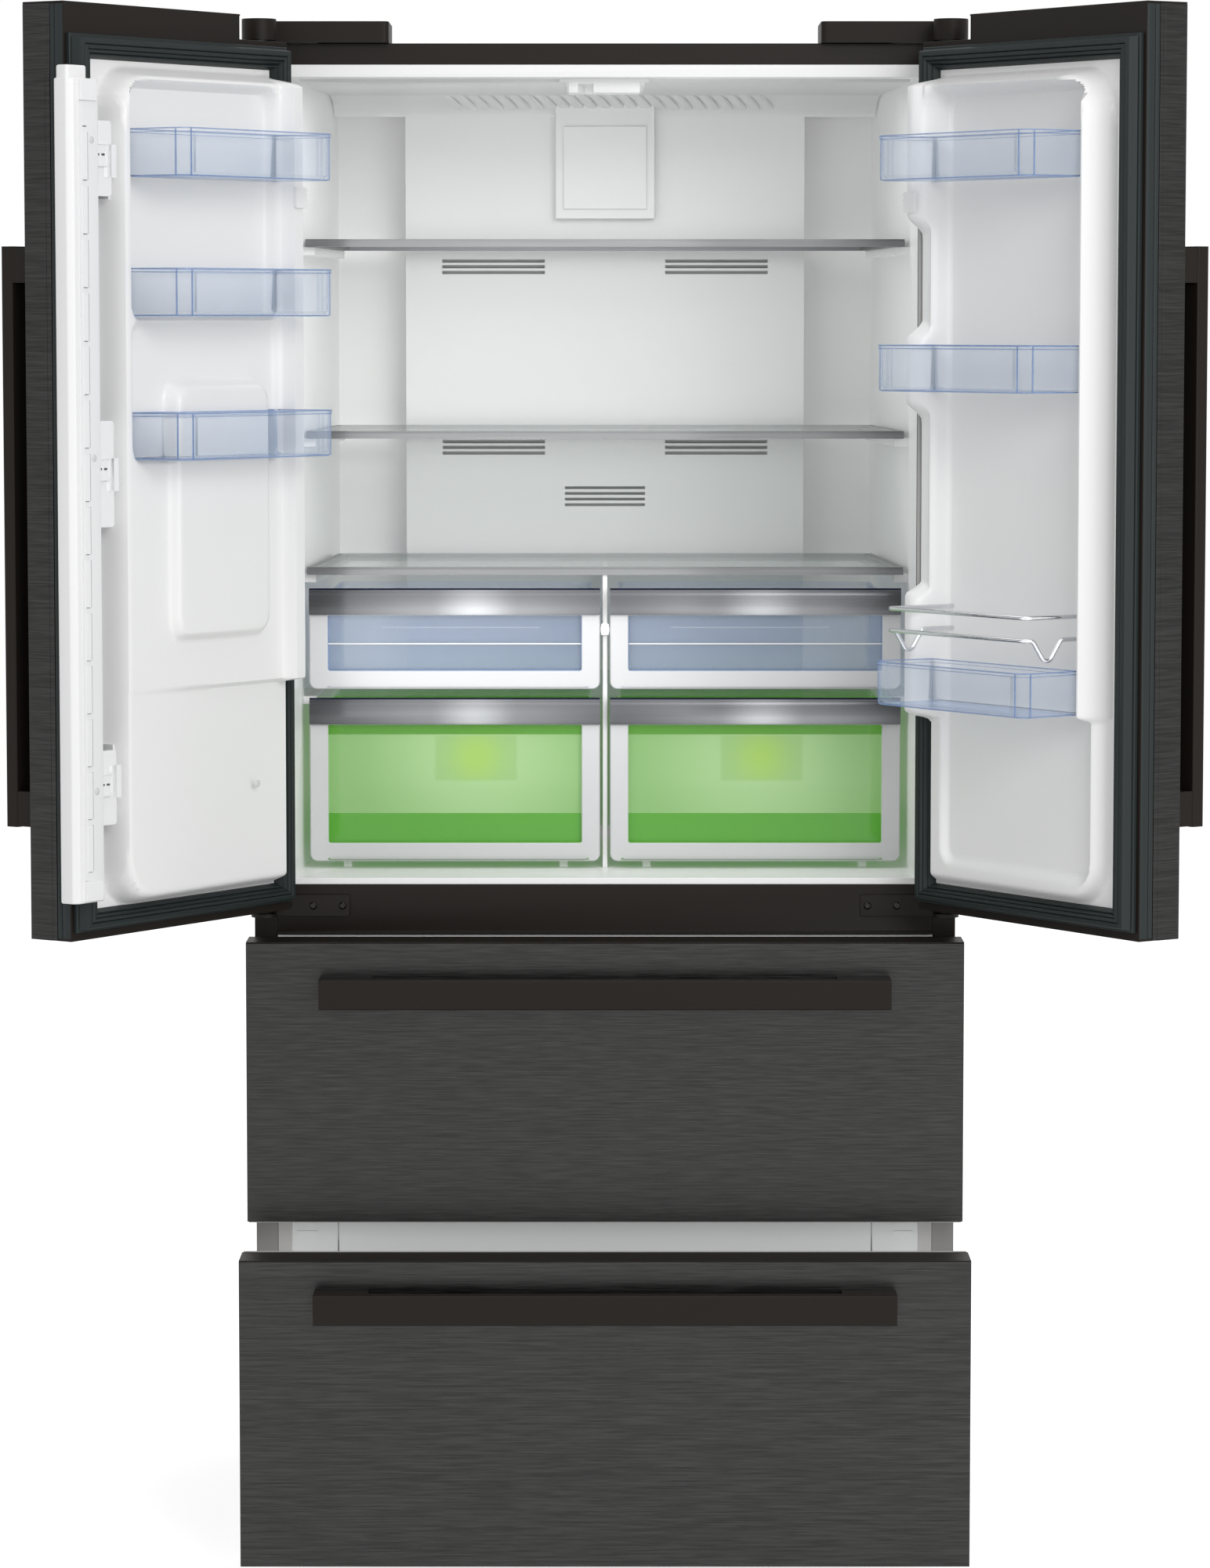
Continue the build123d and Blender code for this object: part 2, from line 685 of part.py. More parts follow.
def drawer_front(z, out, gasket_z, handle_top, prefix):
    """Skin, foamed body, gasket and handle of a freezer drawer."""
    at = Plane((0, front_y - out, 0))
    half = front_width / 2
    bottom, top = z
    with BuildPart(at) as skin:
        block((-half, half), (0, skin_return), (bottom, top - drawer_cap))
        inner = half - sheet
        block((-inner, inner), (sheet, skin_return), (bottom + sheet, top - drawer_cap), Mode.SUBTRACT)
    save(skin.part, prefix + "_skin")
    with BuildPart(at) as body:
        block((-half + sheet, half - sheet), (sheet, door_thick), (bottom + sheet, top - drawer_cap))
        block((-half, half), (0, door_thick), (top - drawer_cap, top))
    save(body.part, prefix + "_body")
    outer = freezer_half + 26
    with BuildPart(at) as gasket:
        inner_z = (gasket_z[0] + 22, gasket_z[1] - 22)
        seal_z = (gasket_z[0] + 4, gasket_z[1] - 4)
        block((-outer, outer), (door_thick, door_thick + 5), gasket_z)
        block((-outer + 4, outer - 4), (door_thick + 5, door_thick + gasket_thick), seal_z)
        through = (door_thick, door_thick + gasket_thick + 1)
        block((-outer + 24, outer - 24), through, inner_z, Mode.SUBTRACT)
    save(gasket.part, prefix + "_gasket")
    wide = half - handle_inset
    low = handle_top - handle_tall
    with BuildPart(at) as handle:
        block((-wide, wide), (-handle_out, -handle_out + handle_bar), (low, handle_top))
        fillet(handle.edges().filter_by(Axis.X), radius=2)
        for side in (-1, 1):
            foot = (side * (wide - 62), side * wide)
            block(foot, (-handle_out + handle_bar - 2, 0), (low + 4, handle_top - 1))
    save(handle.part, prefix + "_handle")


def freezer_bin(out, z, back, rail_z, plate_z, name):
    """Bin hung behind a drawer front, with a moulded rail on each side."""
    at = Plane((0, front_y - out, 0))
    front = door_thick
    inner = bin_half - bin_wall
    with BuildPart(at) as tray:
        block((-freezer_half + 4, freezer_half - 4), (front, front + bin_plate), plate_z)
        block((-bin_half, bin_half), (front + bin_plate, back), z)
        hollow = (front + bin_plate + bin_wall, back - bin_wall)
        block((-inner, inner), hollow, (z[0] + bin_wall, z[1] + 1), Mode.SUBTRACT)
        for side in (-1, 1):
            rail_x = (side * bin_half, side * (channel_x[1] - 4 - rail_slack))
            block(rail_x, (front + 20, back), (rail_z - rail_half + rail_slack, rail_z + rail_half - rail_slack))
    save(tray.part, name)


# Doors
def pocket_edges(v):
    """Where a liner pocket's two side walls stand at a depth: they lean outwards."""
    lean = (v - door_thick) / 11
    return dyke_u[1] + 6.6 - lean, far_wall - 6.6 + lean


def liner_form(at, side, inset):
    """The raised middle of a door liner, or the foam that fills it when an inset is given."""
    base = door_thick
    root = base - liner_thick - (10 if inset else 0)

    def ridge(points, z):
        prism(at, [(side * u, v) for u, v in points], z, inset=inset)

    def pocket(floor, z):
        deep, wide = pocket_edges(floor), pocket_edges(base + 100)
        points = [(deep[0], floor), (deep[1], floor), (wide[1], base + 100), (wide[0], base + 100)]
        prism(at, [(side * u, v) for u, v in points], z, inset=-inset, mode=Mode.SUBTRACT)

    def dyke(top, z):
        low, high = dyke_u
        crest = base + top
        points = [(low, root), (high + 4, root), (high - 2, crest - 3), (high - 7, crest)]
        ridge(points + [(low + 6, crest), (low + 3, crest - 3)], z)

    low, high = liner_u
    floor, ceiling = liner_z
    if side > 0:
        crest = base + crest_height
        ridge([(low, root), (high, root), (high - 20, crest), (low + 2, crest)], (break_z - 2, ceiling))
        ridge([(low + 2, root), (high, root), (high - 20, crest - 2), (low + 4, crest - 2)], (floor, break_z))
        dyke(dyke_height, (break_z - 2, ceiling))
        pocket(base + 19, (left_balcony_z[1][0] - 2, pocket_top))
        pocket(base + 29, (left_balcony_z[2][0] - 2, left_balcony_z[1][0] - 6))
        # Back of the recess that the outer face holds at this height
        crest = base + bulge_height
        near, far = bulge_u
        ridge([(near - 3, root), (far + 3, root), (far, crest), (near, crest)], bulge_z)
    else:
        top = right_balcony_z[2][0] - 5
        crest = base + crest_height + 4
        ridge([(low, root), (high, root), (high - 4, base + 19), (low + 3, base + 19)], (floor, top + 4))
        ridge([(low, root), (high, root), (high - 16, crest), (low + 2, crest)], (top, ceiling))
        # The ridge by the hinge swells at each balcony
        for number, balcony in enumerate(right_balcony_z):
            swell = (max(balcony[0] - 18, top), min(balcony[1] + 65, ceiling))
            dyke(dyke_height, swell)
        pocket(base + 7, (floor + 26, pocket_top))


def door_body_parts(side, prefix):
    at = door_plane(side)
    wide = door_width
    cap_edge = 2.0

    def box(u, v, z, mode=Mode.ADD):
        block((side * u[0], side * u[1]), v, z, mode)

    plate_u = (plate_edge, wide - plate_edge)
    plate_v = (door_thick - liner_thick, door_thick)
    bore = (side * hinge_inset, hinge_depth)
    with BuildPart(at) as skin:
        box((0, wide), (0, skin_return), (door_bottom, door_top - cap_edge))
        box((sheet, wide - sheet), (sheet, skin_return), (door_bottom, door_top), Mode.SUBTRACT)
        # Cut away over the hinge
        box((0, low_cap_width), (0, skin_return), (low_cap_top - 2, door_top), Mode.SUBTRACT)
    save(skin.part, prefix + "_skin")

    with BuildPart(at) as body:
        box((sheet, wide - sheet), (sheet, door_thick), (door_bottom, low_cap_top))
        box((low_cap_width + sheet, wide - sheet), (sheet, door_thick), (low_cap_top, door_top))
        # Cap edge that covers the top of the skin
        box((low_cap_width, wide), (0, sheet), (door_top - cap_edge, door_top))
        box(plate_u, plate_v, plate_z, Mode.SUBTRACT)
        liner_form(at, side, liner_thick)
        hole = pin_radius + pin_clearance
        rod(at, *bore, (door_bottom, door_bottom + 12), hole, Mode.SUBTRACT)
        rod(at, *bore, (low_cap_top - 14, low_cap_top), hole, Mode.SUBTRACT)
    save(body.part, prefix + "_body")

    with BuildPart(at) as fill:
        liner_form(at, side, liner_thick)
    with BuildPart(at) as shape:
        box(plate_u, plate_v, plate_z)
        liner_form(at, side, 0)
    with BuildPart() as liner:
        add(shape.part)
        add(fill.part, mode=Mode.SUBTRACT)
    save(liner.part, prefix + "_liner")

    seal_u = (24, wide - 6)
    with BuildPart(at) as gasket:
        box(seal_u, (door_thick, door_thick + 5), plate_z)
        crown_z = (plate_z[0] + 4, plate_z[1] - 4)
        box((seal_u[0] + 4, seal_u[1] - 4), (door_thick + 5, door_thick + gasket_thick), crown_z)
        inner_u = (liner_u[0] - 2, liner_u[1] + 5)
        inner_z = (liner_z[0] - 3, liner_z[1] + 9)
        box(inner_u, (door_thick, door_thick + gasket_thick + 1), inner_z, Mode.SUBTRACT)
    save(gasket.part, prefix + "_gasket")

    with BuildPart(at) as handle:
        u = (wide - 44, wide - 44 + handle_tall)
        box(u, (-handle_out, -handle_out + handle_bar), door_handle_z)
        fillet(handle.edges().filter_by(Axis.Z), radius=2)
        for low in (door_handle_z[0] + 1, door_handle_z[1] - 40):
            box((u[0] + 1, u[1] - 1), (-handle_out + handle_bar - 2, 0), (low, low + 39))
    save(handle.part, prefix + "_handle")


def balcony_outline(at, side, z, inset):
    """A balcony in plan, held between the pocket's walls, with its two front corners rounded."""
    near, far = pocket_edges(balcony_rear)
    corners = [(near + 0.3, balcony_rear), (far - 0.3, balcony_rear)]
    corners += [(far + 6.8, balcony_front), (near - 7.6, balcony_front)]
    with BuildSketch(at.offset(z)) as outline:
        with BuildLine():
            Polyline(*[(side * u, v) for u, v in corners], close=True)
        make_face()
        fillet(outline.vertices().sort_by(Axis.Y)[-2:], radius=12)
        if inset:
            offset(amount=-inset, mode=Mode.REPLACE)
    return outline.sketch


def balconies(side, heights, name, notch=False):
    at = door_plane(side)
    wall = balcony_wall
    with BuildPart(at) as group:
        for low, high in heights:
            extrude(balcony_outline(at, side, low, 0), amount=high - low)
            hollow = balcony_outline(at, side, low + wall, wall)
            extrude(hollow, amount=high - low, mode=Mode.SUBTRACT)
        if notch:
            # The lowest one steps forward around the bulge behind it
            low, high = heights[2]
            near, far = bulge_u[0] - 5, bulge_u[1] + 5
            step = door_thick + bulge_height + 2.8
            block((side * near, side * far), (balcony_rear - 1, step), (low - 1, high + 1), Mode.SUBTRACT)
            block((side * (near - 2), side * (far + 2)), (step, step + wall), (low, high))
            for u in (near - 2, far + 2 - wall):
                block((side * u, side * (u + wall)), (balcony_rear, step + wall), (low, high))
    save(group.part, name)


def bottle_rail():
    """Two bent wires over the bottle balcony, with their ends on the pocket's floor."""
    at = door_plane(-1)
    floor = door_thick + 7
    front = balcony_front - 14
    rim = right_balcony_z[2][1]
    near, far = pocket_edges(floor)
    near, far = near + 2 * wire_radius, far - 2 * wire_radius
    dip = rim + 3 * wire_radius
    middle = (balcony_rear + front) / 2 + 5

    def wire(points):
        spots = [at.from_local_coords(Vector(-u, v, z)) for u, v, z in points]
        with BuildLine():
            line = FilletPolyline(*spots, radius=4 * wire_radius)
        with BuildSketch(Plane(origin=line @ 0, z_dir=line % 0)) as section:
            Circle(wire_radius)
        sweep(section.sketch, path=line)

    high, low = rim + 60, rim + 35
    with BuildPart() as upper:
        wire([(near, floor, high), (near, front, high), (far, front, high), (far, floor, high)])
    with BuildPart() as lower:
        wire([
            (near, floor, low), (near, middle - 20, low), (near, middle, dip), (near, middle + 20, low),
            (near, front, low), (far, front, low), (far, middle + 20, low), (far, middle, dip),
            (far, middle - 20, low), (far, floor, low),
        ])
    with BuildPart() as group:
        add(upper.part)
        add(lower.part)
    save(group.part, "bottle_rail")


# The flipper and its three hinge leaves
knuckle_z = (low_cap_top - 145.0, (low_cap_top + door_bottom) / 2 + 14.25, door_bottom + 177.5)


def flipper():
    at = door_plane(1)
    front_face = cab_front + 0.1
    end = flip_u + 66.5
    back = flip_v + 8.5
    outline = [
        (flip_u, front_face), (end - 3, front_face), (end, front_face + 3), (end, back - 6), (end - 6, back),
        (flip_u - 8.5, back), (flip_u - 8.5, front_face + 9.5),
    ]
    with BuildPart(at) as bar:
        prism(at, outline, flip_z)
        # Groove line along the inner face
        block((end - 31, end - 28), (back - 2, back + 1), (flip_z[0] + 20, flip_z[1] - 12), Mode.SUBTRACT)
        # Nub that meets the guide on the ceiling
        with BuildSketch(at.offset(flip_z[1])) as nub:
            with Locations((end - 18, flip_v - 4.5)):
                RectangleRounded(34, 17, radius=4)
        extrude(nub.sketch, amount=14)
        for centre in knuckle_z:
            low, high = centre - knuckle_half - 0.5, centre + knuckle_half + 0.5
            block((flip_u - 19, flip_u + 8.5), (front_face - 3, back + 2), (low, high), Mode.SUBTRACT)
            rod(at, flip_u, flip_v, (low - 11, high + 11), flip_pin + pin_clearance, Mode.SUBTRACT)
    save(bar.part, "flipper")


def flipper_hinges():
    at = door_plane(1)
    plate = (liner_u[1], liner_u[1] + 3.5)
    with BuildPart(at) as leaves:
        for centre, half in zip(knuckle_z, (41, 57, 40)):
            block(plate, (door_thick + 5, flip_v - 4.5), (centre - half, centre + half))
            low, high = centre - knuckle_half, centre + knuckle_half
            block((plate[0], flip_u), (flip_v - 8.5, flip_v + 4.5), (low, high))
            rod(at, flip_u, flip_v, (low, high), 6)
            rod(at, flip_u, flip_v, (low - 10, high + 10), flip_pin)
    save(leaves.part, "flipper_hinges")


cabinet_shell()
back_panel()
base_frame()
cabinet_insulation()
fridge_liner()
freezer_liner()
front_beam()
freezer_crossbar()
duct_panel()
duct_cover()
fan_motor()
evaporator_fan()
interior_lamps()
flipper_guide()
shelves()
drawer_divider()
crisper_cover()
inner_drawer(-1, chill_z, "left_chill_drawer")
inner_drawer(1, chill_z, "right_chill_drawer")
inner_drawer(-1, crisper_z, "left_crisper")
inner_drawer(1, crisper_z, "right_crisper")
top_hinges()
hinge_covers()
bottom_hinges()
hinge_screws()
compressor()
condenser()
freezer_rear_panel()
evaporator()
rear_grille()
feet()
freezer_runners()
upper_seal = (upper_z[0] + 7.3, upper_z[1] - 3)
lower_seal = (lower_z[0] + 20.2, lower_z[1] - 14.4)
drawer_front(upper_z, 0, upper_seal, upper_z[1] - 39.6, "upper_drawer")
drawer_front(lower_z, lower_out, lower_seal, lower_z[1] - 32.8, "lower_drawer")
upper_box = (upper_z[0] + 39.3, upper_z[1] - 48)
upper_plate = (upper_z[0] + 32.3, upper_z[1] - 28)
lower_box = (lower_z[0] + 42.2, lower_z[1] - 46.4)
lower_plate = (lower_z[0] + 44.2, lower_z[1] - 38.4)
freezer_bin(0, upper_box, freezer_back - 85, upper_rail_z, upper_plate, "upper_bin")
freezer_bin(lower_out, lower_box, freezer_step_depth - 15, lower_rail_z, lower_plate, "lower_bin")
door_body_parts(1, "left_door")
door_body_parts(-1, "right_door")
balconies(1, left_balcony_z, "left_balconies", notch=True)
balconies(-1, right_balcony_z, "right_balconies")
bottle_rail()
flipper()
flipper_hinges()
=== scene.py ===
# Looks of a fridge freezer with two doors and two freezer drawers, in metres, around the CAD frame.
import json
import math

import bmesh
import bpy
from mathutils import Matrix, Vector

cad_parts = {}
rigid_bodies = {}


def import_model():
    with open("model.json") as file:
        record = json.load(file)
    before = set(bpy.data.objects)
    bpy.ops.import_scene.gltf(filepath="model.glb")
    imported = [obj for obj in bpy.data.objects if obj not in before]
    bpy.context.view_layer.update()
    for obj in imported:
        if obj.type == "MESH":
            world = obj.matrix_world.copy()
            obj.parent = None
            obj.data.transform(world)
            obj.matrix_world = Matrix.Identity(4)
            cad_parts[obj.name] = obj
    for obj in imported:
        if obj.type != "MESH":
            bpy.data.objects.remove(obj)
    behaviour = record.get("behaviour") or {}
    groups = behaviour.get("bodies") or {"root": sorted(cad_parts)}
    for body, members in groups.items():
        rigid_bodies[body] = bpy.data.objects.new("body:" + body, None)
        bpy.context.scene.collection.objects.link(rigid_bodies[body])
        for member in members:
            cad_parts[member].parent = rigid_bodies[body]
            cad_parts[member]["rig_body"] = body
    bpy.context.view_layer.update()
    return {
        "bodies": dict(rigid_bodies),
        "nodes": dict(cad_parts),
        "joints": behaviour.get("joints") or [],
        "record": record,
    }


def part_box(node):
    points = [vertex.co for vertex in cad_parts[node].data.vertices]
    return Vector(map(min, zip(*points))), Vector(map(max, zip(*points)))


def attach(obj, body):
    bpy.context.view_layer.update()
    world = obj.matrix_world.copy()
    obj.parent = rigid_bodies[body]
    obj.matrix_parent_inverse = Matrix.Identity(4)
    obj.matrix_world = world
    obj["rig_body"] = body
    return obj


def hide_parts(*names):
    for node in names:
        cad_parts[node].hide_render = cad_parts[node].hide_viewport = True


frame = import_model()
nodes = frame["nodes"]
joints = {joint["name"]: joint for joint in frame["joints"]}
mm = 0.001
print("frame loaded:", len(nodes), "CAD nodes")


# Materials
def operator(name, reflected=False):
    def apply(self, other):
        return self.finish.math(name, *((other, self) if reflected else (self, other)))

    return apply


class Wire:
    # An output socket that can be used in sums; every operator adds one Math node
    __add__, __radd__ = operator("ADD"), operator("ADD", reflected=True)
    __sub__, __rsub__ = operator("SUBTRACT"), operator("SUBTRACT", reflected=True)
    __mul__, __rmul__ = operator("MULTIPLY"), operator("MULTIPLY", reflected=True)
    __pow__ = operator("POWER")

    def __init__(self, finish, socket):
        self.finish = finish
        self.socket = socket


class Finish:
    # A material around one Principled shader; its constants go straight on the sockets
    def __init__(self, name, color, roughness, metallic=0.0, **constants):
        self.material = bpy.data.materials.new(name)
        self.material.use_nodes = True
        self.tree = self.material.node_tree
        self.shader = self.tree.nodes["Principled BSDF"]
        self.feed("Base Color", (*color, 1.0))
        self.feed("Roughness", roughness)
        self.feed("Metallic", metallic)
        for socket, value in constants.items():
            self.feed(socket.replace("_", " "), value)
        self.objectCoords = self.node("TexCoord", output="Object")

    def feed(self, socket, value):
        if isinstance(value, Wire):
            self.tree.links.new(value.socket, self.shader.inputs[socket])
        else:
            self.shader.inputs[socket].default_value = value

    def node(self, kind, settings=None, inputs=None, output=0):
        made = self.tree.nodes.new("ShaderNode" + kind)
        for setting, value in (settings or {}).items():
            setattr(made, setting, value)
        for socket, value in (inputs or {}).items():
            if isinstance(value, Wire):
                self.tree.links.new(value.socket, made.inputs[socket])
            else:
                made.inputs[socket].default_value = value
        return Wire(self, made.outputs[output])

    def noise(self, scale, stretch=(1, 1, 1), detail=2.0):
        place = {"Vector": self.objectCoords, "Scale": stretch}
        place = self.node("Mapping", {}, place, "Vector")
        return self.node("TexNoise", {}, {"Vector": place, "Scale": scale, "Detail": detail}, 0)

    def axis(self, name):
        return self.node("SeparateXYZ", {}, {0: self.objectCoords}, name)

    def step(self, value, low, high):
        limits = {"Value": value, "From Min": low, "From Max": high}
        return self.node("MapRange", {"interpolation_type": "SMOOTHSTEP"}, limits)

    def mix(self, share, first, second):
        colors = {0: share}
        for socket, color in ((6, first), (7, second)):
            colors[socket] = color if isinstance(color, Wire) else (*color, 1.0)
        return self.node("Mix", {"data_type": "RGBA"}, colors, 2)

    def math(self, operation, *values):
        return self.node("Math", {"operation": operation}, dict(enumerate(values)))

    def near(self, axis, places):
        # Distance along an axis to the nearest of some places
        gaps = [self.math("ABSOLUTE", self.axis(axis) - place) for place in places]
        return gaps[0] if len(gaps) == 1 else self.math("MINIMUM", *gaps)

    def bump(self, height, strength, distance):
        values = {"Height": height, "Strength": strength, "Distance": distance}
        self.feed("Normal", self.node("Bump", {}, values, "Normal"))

    def glow(self, color, strength):
        self.feed("Emission Color", color if isinstance(color, Wire) else (*color, 1.0))
        self.feed("Emission Strength", strength)


def shade(color, factor):
    return tuple(channel * factor for channel in color)


def brushedFinish(name, color, roughness, along, across, contrast):
    # Grain runs level, so the noise is stretched along both level axes
    finish = Finish(name, color, roughness, metallic=1.0)
    fine = finish.noise(1.0, (along, along, across), detail=3.0)
    hair = finish.noise(1.0, (along * 0.3, along * 0.3, across * 1.7))
    streak = finish.step(fine * 0.65 + hair * 0.35, 0.32, 0.72)
    low, high = shade(color, 1 - contrast), shade(color, 1 + contrast)
    finish.feed("Base Color", finish.mix(streak, low, high))
    finish.feed("Roughness", roughness - 0.05 + streak * 0.1)
    finish.bump(fine, 0.12, 0.0002)
    return finish


def mouldedFinish(name, color, roughness, peel=0.02, tone=0.03, **constants):
    # Moulded plastic: a faint change of tone over the piece, and orange peel
    finish = Finish(name, color, roughness, **constants)
    cloud = finish.noise(3.0, detail=1.0)
    finish.feed("Base Color", finish.mix(cloud, shade(color, 1 - tone), shade(color, 1 + tone)))
    finish.feed("Roughness", roughness - 0.04 + cloud * 0.08)
    finish.bump(finish.noise(260.0), peel, 0.0003)
    return finish


def brownFinish(name, roughness, peel, tone, gloss, factor=1.0):
    # The dark brown paint of caps, hinges, handles and cabinet
    color = shade(tones["brown"], factor)
    return mouldedFinish(name, color, roughness, peel, tone, Specular_IOR_Level=gloss)


def clearFinish(name, color, faceAlpha, edgeAlpha, roughness=0.08, edgeColor=None):
    # Clear plastic: see-through from the front, denser and deeper in colour where seen edge on
    finish = Finish(name, color, roughness, IOR=1.45)
    edge = finish.node("LayerWeight", {}, {"Blend": 0.5}, "Facing") ** 2.5
    plain = finish.mix(finish.noise(8.0, detail=1.0), shade(color, 0.94), shade(color, 1.06))
    finish.feed("Base Color", finish.mix(edge, plain, edgeColor or color))
    finish.feed("Alpha", faceAlpha + (edgeAlpha - faceAlpha) * edge)
    return finish


tones = {
    "steel": (0.0445, 0.0445, 0.0438),
    "brown": (0.0115, 0.0085, 0.0068),
    "rubber": (0.010, 0.0155, 0.0155),
    "white": (0.80, 0.80, 0.797),
    "blue": (0.20, 0.33, 0.62),
}
# Brushed metals: colour, roughness, grain along, grain across, contrast
# Moulded plastics: colour, roughness, orange peel, change of tone
finishes = {
    "dark_steel": brushedFinish("brushedCharcoal", tones["steel"], 0.32, 24.0, 620.0, 0.26),
    "dark_cap": brownFinish("satinBrown", 0.45, 0.05, 0.08, 0.14),
    "dark_handle": brownFinish("handleBrown", 0.4, 0.04, 0.06, 0.14, 1.1),
    "dark_hinge": brownFinish("hingeBrown", 0.44, 0.06, 0.1, 0.17),
    "cabinet_paint": brownFinish("cabinetPaint", 0.42, 0.06, 0.06, 0.16),
    "white_liner": mouldedFinish("whiteLiner", tones["white"], 0.33, tone=0.01),
    # The liner's white again, for the stronger painted glow set below
    "lit_liner": mouldedFinish("litLiner", tones["white"], 0.33, tone=0.01),
    "pale_plastic": mouldedFinish("palePlastic", (0.62, 0.63, 0.63), 0.35, 0.03),
    "grey_plastic": mouldedFinish("greyPlastic", (0.80, 0.80, 0.805), 0.34),
    # The drawer frames' white, painted darker than the liner's as shade that holds back the near
    # lamp's light
    "drawer_frame": mouldedFinish("drawerFrameWhite", (0.60, 0.605, 0.615), 0.34, tone=0.02),
    "foam": mouldedFinish("foam", (0.66, 0.60, 0.44), 0.85, 0.5, 0.1),
    "clear_blue": clearFinish("clearBlue", (0.70, 0.81, 0.97), 0.055, 0.8,
                              edgeColor=(0.22, 0.38, 0.72)),
    "clear_drawer": clearFinish("clearDrawer", (0.78, 0.86, 0.95), 0.12, 0.6),
    "chill_clear": clearFinish("chillClear", (0.60, 0.72, 0.98), 0.15, 0.7,
                               edgeColor=(0.20, 0.36, 0.75)),
    "shelf_glass": clearFinish("shelfGlass", (0.72, 0.84, 0.80), 0.10, 0.55, roughness=0.04),
    "shelf_trim": brushedFinish("shelfTrim", (0.20, 0.205, 0.21), 0.34, 6.0, 1200.0, 0.1),
    "gasket_rubber": mouldedFinish("gasketRubber", tones["rubber"], 0.55, 0.08, 0.1,
                                   Specular_IOR_Level=0.3),
    "lamp_cover": mouldedFinish("lampCover", (0.66, 0.66, 0.66), 0.4),
    # Grey of the flange sheets: painted light in the drawer gap
    "flange_grey": mouldedFinish("flangeGrey", (0.21, 0.205, 0.20), 0.5, 0.05),
    "flange_pale": mouldedFinish("flangePale", (0.40, 0.395, 0.39), 0.5, 0.05),
    "edge_blue": mouldedFinish("edgeBlue", tones["blue"], 0.1, 0.01, Alpha=0.42),
    "zinc_steel": brushedFinish("zincSteel", (0.45, 0.46, 0.47), 0.4, 30.0, 60.0, 0.12),
    "screw_steel": brushedFinish("screwSteel", (0.030, 0.027, 0.024), 0.34, 300.0, 300.0, 0.1),
    "black_plastic": mouldedFinish("blackPlastic", (0.02, 0.02, 0.021), 0.5, 0.1, 0.1),
    "coil_aluminium": brushedFinish("coilAluminium", (0.6, 0.61, 0.62), 0.35, 40.0, 200.0, 0.1),
    "compressor_paint": mouldedFinish("compressorPaint", (0.015, 0.015, 0.016), 0.32, 0.15, 0.1),
    "bright_wire": brushedFinish("brightWire", (0.72, 0.73, 0.75), 0.18, 200.0, 200.0, 0.05),
}
finishes["lamp_cover"].glow((1.0, 0.99, 0.96), 0.03)
# Painted glow on parts that are no lamps: faint on the white liner and grey plastic, stronger on
# the liner copy for the fridge's inside and the vent backs, to lift their shade
for slot, strength in (("white_liner", 0.025), ("grey_plastic", 0.025), ("lit_liner", 0.07)):
    finishes[slot].glow((1.0, 1.0, 1.0), strength)
print("finishes made:", len(finishes))


# Pieces
def meshFrom(name, shape):
    bmesh.ops.recalc_face_normals(shape, faces=shape.faces)
    mesh = bpy.data.meshes.new(name)
    shape.to_mesh(mesh)
    shape.free()
    return mesh


def addPiece(name, shape, body, finish, slot=None, replaced=None, smooth=None):
    # A named piece carried by one body; a finish's name is also its slot where none is given
    mesh = meshFrom(name, shape) if isinstance(shape, bmesh.types.BMesh) else shape
    slot, finish = slot or finish, finishes.get(finish, finish)
    piece = bpy.data.objects.new(name, mesh)
    bpy.context.scene.collection.objects.link(piece)
    mesh.materials.clear()
    mesh.materials.append(finish.material)
    if smooth is not None:
        mesh.shade_smooth()
        mesh.set_sharp_from_angle(angle=math.radians(smooth))
    if replaced:
        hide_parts(replaced)
    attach(piece, body)
    return piece


def rounded(piece, width, segments=2, angle=30):
    bevel = piece.modifiers.new("edges", "BEVEL")
    bevel.width = width * mm
    bevel.segments = segments
    bevel.limit_method = "ANGLE"
    bevel.angle_limit = math.radians(angle)
    bevel.harden_normals = True
    return piece


def softened(node, slot, width, segments=2, angle=30, finish=None):
    # A copy of a CAD node with its loose triangles joined and its edges rounded
    source = nodes[node]
    mesh = source.data.copy()
    mesh.name = node + "Soft"
    shape = bmesh.new()
    shape.from_mesh(mesh)
    bmesh.ops.remove_doubles(shape, verts=shape.verts, dist=0.01 * mm)
    flat = math.radians(1)
    bmesh.ops.dissolve_limit(shape, angle_limit=flat, verts=shape.verts, edges=shape.edges)
    shape.to_mesh(mesh)
    shape.free()
    piece = addPiece(mesh.name, mesh, source["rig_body"], finish or slot, slot, node, smooth=30)
    return rounded(piece, width, segments, angle)


# CAD nodes that are only softened, by slot, with their edge radius in millimetres
softNodes = {
    "cabinet_paint": {"cabinet_shell": 0.8, "front_beam": 0.8},
    "dark_cap": {"hinge_covers": 0.7, "upper_drawer_body": 0.7, "lower_drawer_body": 0.7},
    "dark_steel": {"upper_drawer_skin": 0.9, "lower_drawer_skin": 0.9,
                   "left_door_skin": 0.4, "right_door_skin": 0.4},
    "white_liner": {"duct_cover": 1.2, "duct_panel": 0.8, "drawer_divider": 0.8,
                    "flipper_guide": 1.0, "upper_bin": 1.2, "lower_bin": 1.2,
                    "fridge_liner": 2.0, "freezer_liner": 2.0},
    "pale_plastic": {"freezer_crossbar": 1.2},
    "black_plastic": {"rear_grille": 0.5},
}
for slot, widths in softNodes.items():
    for node, width in widths.items():
        # The fridge liner takes the liner copy with the stronger painted glow
        softened(node, slot, width, finish="lit_liner" if node == "fridge_liner" else slot)
print("softened nodes:", sum(len(widths) for widths in softNodes.values()))


# The bottle rail's wires, joined and a touch thicker so that they read as rod
rail = softened("bottle_rail", "bright_wire", 0.2, segments=1, angle=60)
shape = bmesh.new()
shape.from_mesh(rail.data)
shape.normal_update()
for corner in shape.verts:
    corner.co += corner.normal * 0.5 * mm
shape.to_mesh(rail.data)
shape.free()


